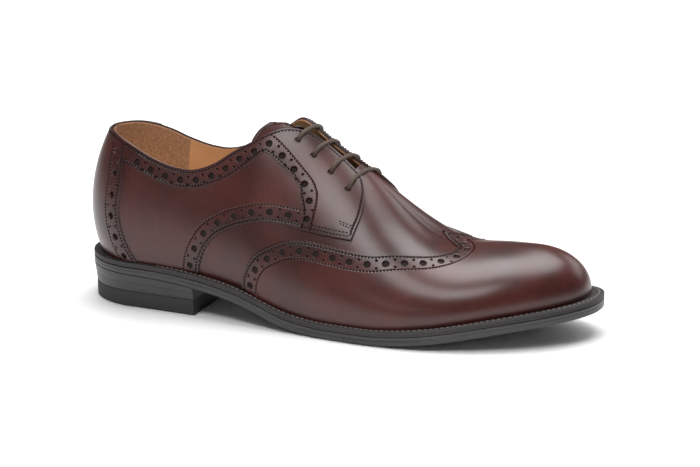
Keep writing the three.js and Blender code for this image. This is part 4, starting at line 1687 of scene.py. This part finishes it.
def build_wing_cap():
    brogue = settings().brogue
    paths = wing_paths()
    outer, middle, inner = (
        rim_line(pillow, paths, d * MM) for d in (brogue.outer_row, brogue.middle, brogue.inner_row)
    )
    holes = Broguing(brogue)
    holes.row(pillow, middle, first=4.0, last=4.0)
    end = CHART_TURN * np.pi
    toe = np.linspace(-CHART_RISE * (1 - FOOT), CHART_RISE * (1 - FOOT), 121)
    named = [(p, EDGE, True) for p in paths]
    named += [
        (foot_line(on_pillow, WING_START, 1.0, -1, 300), SEAM, False),
        (np.stack([np.full(121, end), toe], -1), SEAM, False),
        (foot_line(on_pillow, WING_START, 1.0, 1, 300)[::-1], SEAM, False),
    ]
    outline = close(pillow, named, -1)
    part = panel(
        pillow,
        outline,
        QUARTER_FACE,
        0.0,
        holes=unique(holes.holes),
        grooves=[cut_run(pillow, row, 1.5, -1.5) for row in (outer, inner)],
    )
    skin("wing_cap_leather", part, [brown_leather()], part["part"] * 0, ["wing_cap"])
    # dark discs of painted shade in the holes
    holes.back(pillow, "wing_cap_hole_backing", SHADE_DISC_HEIGHT)
    sewing = Sewing(settings().stitch)
    for path in (outer, inner):
        sewing.row(pillow, path, QUARTER_FACE)
    sewing.make("wing_cap_stitches", thread(), "upper_leather")


def unique(holes):
    """Leaves out a hole that falls on one already there."""
    kept = []
    for centre, radius in holes:
        if all(np.hypot(*(centre - c)) > 1.2 * max(radius, r) for c, r in kept):
            kept.append((centre, radius))
    return kept


COUNTER_HOLES = 5  # large holes on either side
COUNTER_THIN = 26.0  # the counter thins backwards over this width
COUNTER_FOLD_DROP = 0.35


def build_heel_counter():
    brogue = settings().brogue
    station, rise = counter_line()
    left = on_wrap(station, rise, 1)  # medial, downwards
    right = on_wrap(station, rise, -1)[::-1]  # lateral, upwards
    at = np.linspace(-1, 1, 120)
    turn = at * turn_at(station[-1])
    foot = np.stack([CHART_TURN * turn, np.full(120, CHART_RISE * FOOT)], -1)
    turn = -at * turn_at(station[0])
    top_rise = read(TOPLINES[1], "rise", station_at(turn))
    top = np.stack([CHART_TURN * turn, CHART_RISE * top_rise], -1)
    named = [(left, EDGE, True), (foot, SEAM, False), (right, EDGE, True), (top, EDGE, False)]
    outline = close(wrap, named, -1)
    holes = Broguing(brogue)
    rows = []
    for path in (left, right):
        outer, middle, inner = (
            offset_paths(wrap, [path], d * MM)[0] for d in (brogue.outer_row, brogue.middle, brogue.inner_row)
        )
        holes.row(wrap, middle[::-1] if rows else middle, first=6.0, last=6.5, count=COUNTER_HOLES)
        rows += [outer, inner]
    from_left, from_right = (thin_to(wrap, p, COUNTER_THIN, 1.0) for p in (left, right))
    fold = thin_to(wrap, top, FOLD, COUNTER_FOLD_DROP)

    def relief(chart):
        near_front = np.minimum(from_left(chart), from_right(chart))
        return -(COUNTER_FACE - QUARTER_FACE) * (1 + near_front) + fold(chart)

    grooves = [cut_run(wrap, r, 1.5, -1.5) for r in rows]
    part = panel(wrap, outline, COUNTER_FACE, 0.0, holes=holes.holes, grooves=grooves, relief=relief)
    skin("heel_counter_leather", part, [brown_leather()], part["part"] * 0, ["heel_counter"])
    # dark discs of painted shade in the holes
    holes.back(wrap, "heel_counter_hole_backing", SHADE_DISC_HEIGHT)
    sewing = Sewing(settings().stitch)
    for path in rows + [offset_paths(wrap, [top], TOP_ROW)[0]]:
        path = cut_run(wrap, path, 1.0, -1.0)
        sewing.row(wrap, path, lambda chart: COUNTER_FACE + relief(chart))
    sewing.make("heel_counter_stitches", thread(), "upper_leather")


def tube(name, path, radius, material, sides=20, replaces=()):
    """A round cord along a 3-D path, with the run along it and the angle round it kept for its braid."""
    along = unit(np.gradient(path, axis=0))
    up = np.tile([0.0, 0.0, 1.0], (len(path), 1))
    across = unit(np.cross(up, along))
    up = np.cross(along, across)
    angle = np.linspace(0, 2 * np.pi, sides + 1)
    ring = np.cos(angle)[None, :, None] * across[:, None] + np.sin(angle)[None, :, None] * up[:, None]
    points = path[:, None] + radius * ring
    run = run_of(path)
    count, n = len(path), sides + 1
    faces = []
    for k in range(count - 1):
        for m in range(sides):
            faces.append((k * n + m, k * n + m + 1, (k + 1) * n + m + 1, (k + 1) * n + m))
    values = {"along": np.repeat(run, n), "around": np.tile(angle, count)}
    normals = np.broadcast_to(ring, points.shape).reshape(-1, 3)
    points = points.reshape(-1, 3)
    return add_mesh(
        name, points, faces, [material], normals=normals, values=values, replaces=replaces
    )


LACE_KNOTS = np.array([0.0, 0.05, 0.12, 0.3, 1.0])  # shares of the way from an eyelet to the middle
LACE_HANG = 0.45  # how far a bar follows the facings below it, between straight and lying on them
LACE_FREE = (0.18, 0.82)  # shares of the bar between which it spans the throat


def lace_path(lateral, medial, rise, radius):
    """Middle line of one bar: up out of one eyelet, straight over the throat, and down into the other."""
    shares = np.linspace(0, 1, 40)
    level = np.array([-1.2, 0.9, STRIP_FACE + 0.75 * radius, STRIP_FACE + 1.02 * radius, STRIP_FACE + radius])
    half = []
    reach = CHART_RISE * (1 - rise)
    for side, station in ((-1, lateral), (1, medial)):
        y = side * reach * (1 - shares)
        along = station + ((lateral + medial) / 2 - station) * shares
        chart = np.stack([CHART_TURN * turn_at(along), y], -1)
        height = np.interp(shares, LACE_KNOTS, level)
        half.append(place(pillow, chart, height))
    line = np.vstack([half[0], half[1][::-1][1:]])
    run = run_of(line)
    start, end = (share * run[-1] for share in LACE_FREE)
    a, b = at_run(np.array([start, end]), run, line)
    want = np.linspace(0, run[-1], 110)
    out = at_run(want, run, line)
    inside_span = (want > start) & (want < end)
    t = (want[inside_span] - start) / (end - start)
    straight = a + (b - a) * t[:, None]
    out[inside_span] = straight * (1 - LACE_HANG) + out[inside_span] * LACE_HANG
    kernel = np.hanning(9)
    kernel /= kernel.sum()
    padded = np.vstack([np.repeat(out[:1], 4, 0), out, np.repeat(out[-1:], 4, 0)])
    return np.stack([np.convolve(padded[:, k], kernel, "valid") for k in range(3)], -1)


def build_lacing():
    lacing = settings().lacing
    cotton = material("waxed_cotton_lace", waxed_cotton, lacing)
    radius = lacing.diameter * MM / 2
    for k, (lateral, medial, rise) in enumerate(zip(EYELETS["lateral"], EYELETS["medial"], EYELETS["rise"])):
        path = lace_path(lateral, medial, rise, radius)
        tube(f"lace_{k + 1}", path, radius, cotton, replaces=[f"lace_bar_{k + 1}"])


SOLE_TURNS = 2 * np.pi * np.arange(360) / 360
SHARP_EDGE = 35  # degrees from which an edge of the sole is drawn sharp


def around_sole(turns, plan, inset, height):
    small = 1e-3
    along = unit(plan(turns + small) - plan(turns - small))
    point = plan(turns) + inset * np.stack([along[:, 1], -along[:, 0]], -1)
    return np.concatenate([point, height(point[:, 0])[:, None]], -1)


def feather_plan(turn):
    return last_point(turn, 0.0)[..., :2]


def stack(name, loops, material, replaces, closed=True, ring=False):
    """Side walls through stacked loops, with caps by strips from side to side."""
    count = len(loops[0])
    points = np.vstack(loops)
    faces = []
    levels = len(loops) if ring else len(loops) - 1
    for level in range(levels):
        low, high = level * count, ((level + 1) % len(loops)) * count
        for k in range(count):
            m = (k + 1) % count
            faces.append((low + k, low + m, high + m, high + k))
    if not ring:
        top = (len(loops) - 1) * count
        last = count if closed else count - 1
        k = 0
        while k < last - k - 1:
            p, q, r, s = k, k + 1, (last - k - 1) % count, (last - k) % count
            quad = [p, q, r, s] if p != s else [p, q, r]
            quad = [v for n, v in enumerate(quad) if v not in quad[:n]]
            if len(quad) > 2:
                faces.append(tuple(quad[::-1]))
                faces.append(tuple(top + v for v in quad))
            k += 1
    return add_mesh(name, points, faces, [material], replaces=replaces, sharp=SHARP_EDGE)


OUTSOLE_EDGE = (  # inset, share of the height, height added: a trimmed edge with one fine wheeled line
    (0.8, 0.0, 0.0), (0.24, 0.0, 0.24), (0.0, 0.0, 0.8), (0.0, 0.585, 0.0), (0.12, 0.62, 0.0),
    (0.0, 0.655, 0.0), (0.0, 1.0, -0.35), (0.25, 1.0, 0.0),
)


def sole_edge():
    return material("sole_edge_leather", pressed_leather, settings().sole.edge)


def build_sole():
    edge = sole_edge()
    loops = []
    for inset, share, extra in OUTSOLE_EDGE:
        loops.append(
            around_sole(
                SOLE_TURNS,
                sole_plan,
                inset,
                lambda x: underside(x) * (1 - share) + outsole_top(x) * share + extra,
            )
        )
    stack("outsole_leather", loops, edge, ["outsole"])


WELT_RIM = 0.5  # rounding of the welt's upper edge
STITCHED_FROM = 0.17  # station where the welt's stitches begin


def build_welt():
    sole = settings().sole
    black = material("welt_leather", pressed_leather, sole.welt, roughness=0.38)

    def level(plan, inset, low, extra=0.0):
        height = (lambda x: welt_foot(x) + extra) if low else (lambda x: welt_top(x) + extra)
        return around_sole(SOLE_TURNS, plan, inset, height)

    loops = [
        level(sole_plan, 0.3, True),
        level(sole_plan, 0.0, True, 0.3),
        level(sole_plan, 0.0, True, 1.2),
        level(sole_plan, 0.14, True, 1.45),
        level(sole_plan, 0.0, True, 1.7),
        level(sole_plan, 0.0, False, -WELT_RIM),
        level(sole_plan, 0.15, False, -0.15),
        level(sole_plan, WELT_RIM, False),
        level(feather_plan, WELT_SEAT, False),
        level(feather_plan, WELT_SEAT, True),
    ]
    stack("welt_leather", loops, black, ["welt"], ring=True)
    fine = np.linspace(0, 2 * np.pi, 4001)
    edge, foot = sole_plan(fine), feather_plan(fine)
    tree = nearest_tree(foot)
    gap = np.array([tree.find((p[0], p[1], 0))[2] for p in edge])
    inset = np.clip(0.45 * gap, 1.0, 2.6)
    along = unit(sole_plan(fine + 1e-3) - sole_plan(fine - 1e-3))
    line = edge + inset[:, None] * np.stack([along[:, 1], -along[:, 0]], -1)
    run = run_of(line)
    pitch, reach = sole.stitch_pitch * MM, sole.stitch_length * MM
    at = np.arange(0, run[-1] - pitch, pitch)
    ends = []
    for shift in (0, reach):
        xy = at_run(at + shift, run, line)
        ends.append(np.concatenate([xy, (welt_top(xy[:, 0]) + 0.08)[:, None]], -1))
    forward = ends[0][:, 0] > STITCHED_FROM * SOLE_LENGTH
    starts, stops = ends[0][forward], ends[1][forward]
    ups = np.tile([0.0, 0.0, 1.0], (len(starts), 1))
    grey = material("welt_thread", plain, sole.thread, 0.55)
    thick = sole.stitch_thickness * MM / 2
    capsules("welt_stitches", starts, stops, ups, thick, grey)


# inset and height: a rounded lower edge and a fine bevel under the lifts
TOP_PIECE_EDGE = ((1.0, 0.0), (0.4, 0.12), (0.1, 0.4), (0.0, 0.9), (0.0, 8.6), (0.12, TOP_PIECE_THICKNESS))
LIFT_EDGE = ((0.0, 0.03), (0.02, 0.0), (0.5, 0.0), (0.98, 0.0), (1.0, 0.03))  # share of the lift, inset
LIFT_GAP = 0.06  # fine line left between two lifts


def build_heel():
    edge = sole_edge()
    rubber = material("heel_rubber", pressed_leather, settings().sole.rubber, roughness=0.5)
    turns = np.linspace(-1, 1, 181) * turn_at(HEEL_LENGTH / SOLE_LENGTH)

    def slab(name, rows, stuff, replaces):
        loops = []
        for inset, height in rows:
            line = around_sole(turns, sole_plan, inset, height)
            for end in (0, -1):
                line[end, 0] = HEEL_LENGTH
                line[end, 2] = height(np.array([HEEL_LENGTH]))[0]
            loops.append(line)
        stack(name, loops, stuff, replaces, closed=False)

    for number in range(HEEL_LIFTS):
        rows = []
        low_share, high_share = number / HEEL_LIFTS, (number + 1) / HEEL_LIFTS
        for part, extra_inset in LIFT_EDGE:
            share = low_share + (high_share - low_share) * part
            gap = LIFT_GAP * part

            def height(x, share=share, gap=gap):
                low = TOP_PIECE_THICKNESS + GAP
                return low * (1 - share) + underside(x) * share - gap

            rows.append((HEEL_TAPER * (1 - share) + extra_inset, height))
        slab(f"heel_lift_{number + 1}_leather", rows, edge, [f"heel_lift_{number + 1}"])
    rows = []
    for inset, z in TOP_PIECE_EDGE:
        rows.append((HEEL_TAPER + inset, lambda x, z=z: np.full(np.shape(x), z)))
    slab("heel_top_piece_rubber", rows, rubber, ["heel_top_piece"])


def build_sock():
    """The insole is the solid itself, in tan leather."""
    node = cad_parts["insole"]
    node.data.materials.clear()
    node.data.materials.append(tan_lining())


# ---------------------------------------------------------------------------------------------
# Studio
def softbox(name, place_at, aim, size, mirrored, power):
    light = bpy.data.lights.new(name, "AREA")
    light.shape = "RECTANGLE"
    light.size, light.size_y = size
    light.energy = power
    lamp = bpy.data.objects.new(name, light)
    lamp.location = place_at
    lamp.rotation_euler = (Vector(aim) - Vector(place_at)).to_track_quat("-Z", "Y").to_euler()
    lamp.visible_camera = False
    lamp.visible_glossy = mirrored
    bpy.context.scene.collection.objects.link(lamp)


FLOOR_HALF, FLOOR_LEVEL = 4.0, -0.0002
SHOE_TOP, SHOE_MIDDLE, FAR_FLOOR = (0.0, -0.02, 0.08), (0.0, 0.0, 0.04), (0.0, 1.0, 0.0)
SOFTBOXES = (  # setting with its power, place, aim, size, and whether the leather mirrors it
    ("overhead", (0.0, 0.3, 1.2), SHOE_MIDDLE, (1.3, 0.7), True),
    ("facing", (0.0, -0.22, 0.38), SHOE_TOP, (0.3, 0.14), True),
    ("front", (-0.25, -1.5, 0.47), SHOE_MIDDLE, (0.6, 0.2), True),
    ("toe", (0.7, 1.0, 0.65), SHOE_MIDDLE, (0.9, 0.5), True),
    ("back", (0.0, 1.5, 1.5), FAR_FLOOR, (2.6, 1.0), False),
)


def build_studio():
    studio = settings().studio
    mesh = bpy.data.meshes.new("floor")
    corners = [(-1, -1), (1, -1), (1, 1), (-1, 1)]
    mesh.from_pydata([(FLOOR_HALF * x, FLOOR_HALF * y, FLOOR_LEVEL) for x, y in corners], [], [(0, 1, 2, 3)])
    floor = bpy.data.objects.new("floor", mesh)
    bpy.context.scene.collection.objects.link(floor)
    paper = Nodes("white_paper")
    mesh.materials.append(paper.finish(tuple(studio.paper), 0.9, specular_ior_level=0.1))
    for name, *where in SOFTBOXES:
        softbox(f"{name}_softbox", *where, getattr(studio, name))
    world = bpy.data.worlds.new("pale_surround")
    bpy.context.scene.world = world
    world.use_nodes = True
    tree = world.node_tree
    background = tree.nodes["Background"]
    background.inputs["Color"].default_value = (1, 1, 1, 1)
    background.inputs["Strength"].default_value = studio.surround
    white = tree.nodes.new("ShaderNodeBackground")
    white.inputs["Color"].default_value = (1, 1, 1, 1)
    white.inputs["Strength"].default_value = 1.0
    rays = tree.nodes.new("ShaderNodeLightPath")
    blend = tree.nodes.new("ShaderNodeMixShader")
    tree.links.new(rays.outputs["Is Camera Ray"], blend.inputs["Fac"])
    tree.links.new(background.outputs[0], blend.inputs[1])
    tree.links.new(white.outputs[0], blend.inputs[2])
    tree.links.new(blend.outputs[0], tree.nodes["World Output"].inputs["Surface"])
    bpy.context.scene.view_settings.view_transform = "Standard"


CAMERA_PLACE = (744.9, -1414.2, 494.0)
CAMERA_RIGHT = (0.925658, 0.378018, -0.016131)
CAMERA_UP = (-0.091676, 0.265486, 0.959746)
CAMERA_BACK = (0.367084, -0.886917, 0.280404)
CAMERA_LENS = 144.96


def build_camera():
    camera = bpy.data.cameras.new("camera")
    camera.lens = CAMERA_LENS
    camera.sensor_width = 36.0
    camera.clip_start, camera.clip_end = 0.05, 50.0
    view = bpy.data.objects.new("camera", camera)
    spot = [(CAMERA_PLACE[k] - SHIFT[k]) / MM for k in range(3)]
    axes = Matrix((CAMERA_RIGHT, CAMERA_UP, CAMERA_BACK)).transposed()
    view.matrix_world = Matrix.Translation(spot) @ axes.to_4x4()
    bpy.context.scene.collection.objects.link(view)
    bpy.context.scene.camera = view


def build_stage():
    build_studio()
    build_camera()


# ---------------------------------------------------------------------------------------------
# Operators and the panel
class SHOE_OT_upper(bpy.types.Operator):
    """Vamp, sides, lining and heel grip as one skin over the last"""

    bl_idname = "shoe.upper"
    bl_label = "Upper and lining"

    def execute(self, context):
        build_upper()
        return {"FINISHED"}


class SHOE_OT_tongue(bpy.types.Operator):
    """Tongue that sags between the facings"""

    bl_idname = "shoe.tongue"
    bl_label = "Tongue"

    def execute(self, context):
        build_tongue()
        return {"FINISHED"}


class SHOE_OT_quarters(bpy.types.Operator):
    """Both quarters with their collar and facing strips, holes and stitches"""

    bl_idname = "shoe.quarters"
    bl_label = "Quarters"

    def execute(self, context):
        build_quarters()
        return {"FINISHED"}


class SHOE_OT_wing_cap(bpy.types.Operator):
    """Winged toe cap with its broguing"""

    bl_idname = "shoe.wing_cap"
    bl_label = "Wing cap"

    def execute(self, context):
        build_wing_cap()
        return {"FINISHED"}


class SHOE_OT_heel_counter(bpy.types.Operator):
    """Counter round the heel with its broguing"""

    bl_idname = "shoe.heel_counter"
    bl_label = "Heel counter"

    def execute(self, context):
        build_heel_counter()
        return {"FINISHED"}


class SHOE_OT_lacing(bpy.types.Operator):
    """Four straight bars of waxed lace through the eyelets"""

    bl_idname = "shoe.lacing"
    bl_label = "Lacing"

    def execute(self, context):
        build_lacing()
        return {"FINISHED"}


class SHOE_OT_outsole(bpy.types.Operator):
    """Outsole with its trimmed edge"""

    bl_idname = "shoe.outsole"
    bl_label = "Outsole"

    def execute(self, context):
        build_sole()
        return {"FINISHED"}


class SHOE_OT_welt(bpy.types.Operator):
    """Welt with its rim and stitches"""

    bl_idname = "shoe.welt"
    bl_label = "Welt"

    def execute(self, context):
        build_welt()
        return {"FINISHED"}


class SHOE_OT_heel(bpy.types.Operator):
    """Heel lifts and the rubber top piece"""

    bl_idname = "shoe.heel"
    bl_label = "Heel"

    def execute(self, context):
        build_heel()
        return {"FINISHED"}


class SHOE_OT_insole(bpy.types.Operator):
    """Tan leather on the insole"""

    bl_idname = "shoe.insole"
    bl_label = "Insole"

    def execute(self, context):
        build_sock()
        return {"FINISHED"}


class SHOE_OT_stage(bpy.types.Operator):
    """Paper floor, soft lights, surround and camera"""

    bl_idname = "shoe.stage"
    bl_label = "Studio and camera"

    def execute(self, context):
        build_stage()
        return {"FINISHED"}


class SHOE_PT_parts(bpy.types.Panel):
    """Sizes, finishes and building steps of the shoe"""

    bl_idname = "SHOE_PT_parts"
    bl_label = "Wingtip derby shoe"
    bl_space_type = "VIEW_3D"
    bl_region_type = "UI"
    bl_category = "Shoe"

    def draw(self, context):
        shoe = context.scene.shoe
        for name, row in shoe.bl_rna.properties.items():
            if row.type != "POINTER" or name == "rna_type":
                continue
            box = self.layout.box()
            box.label(text=row.name)
            values = getattr(shoe, name)
            for key in values.__annotations__:
                box.prop(values, key)
        for step in STEPS:
            self.layout.operator(step.bl_idname)


GROUPS = (
    ShoeLeather, ShoeLining, ShoeBroguing, ShoeStitches, ShoeLacing, ShoeSole, ShoeStudio, ShoeSettings,
)
STEPS = (
    SHOE_OT_upper,
    SHOE_OT_tongue,
    SHOE_OT_quarters,
    SHOE_OT_wing_cap,
    SHOE_OT_heel_counter,
    SHOE_OT_lacing,
    SHOE_OT_outsole,
    SHOE_OT_welt,
    SHOE_OT_heel,
    SHOE_OT_insole,
    SHOE_OT_stage,
)


def register():
    for kind in (*GROUPS, *STEPS, SHOE_PT_parts):
        bpy.utils.register_class(kind)
    bpy.types.Scene.shoe = bpy.props.PointerProperty(type=ShoeSettings)


def unregister():
    del bpy.types.Scene.shoe
    for kind in reversed((*GROUPS, *STEPS, SHOE_PT_parts)):
        bpy.utils.unregister_class(kind)


def main():
    register()
    for step in STEPS:
        group_name, name = step.bl_idname.split(".")
        if getattr(getattr(bpy.ops, group_name), name)() != {"FINISHED"}:
            raise RuntimeError(f"{step.bl_label} was not finished")


if __name__ == "__main__":
    main()
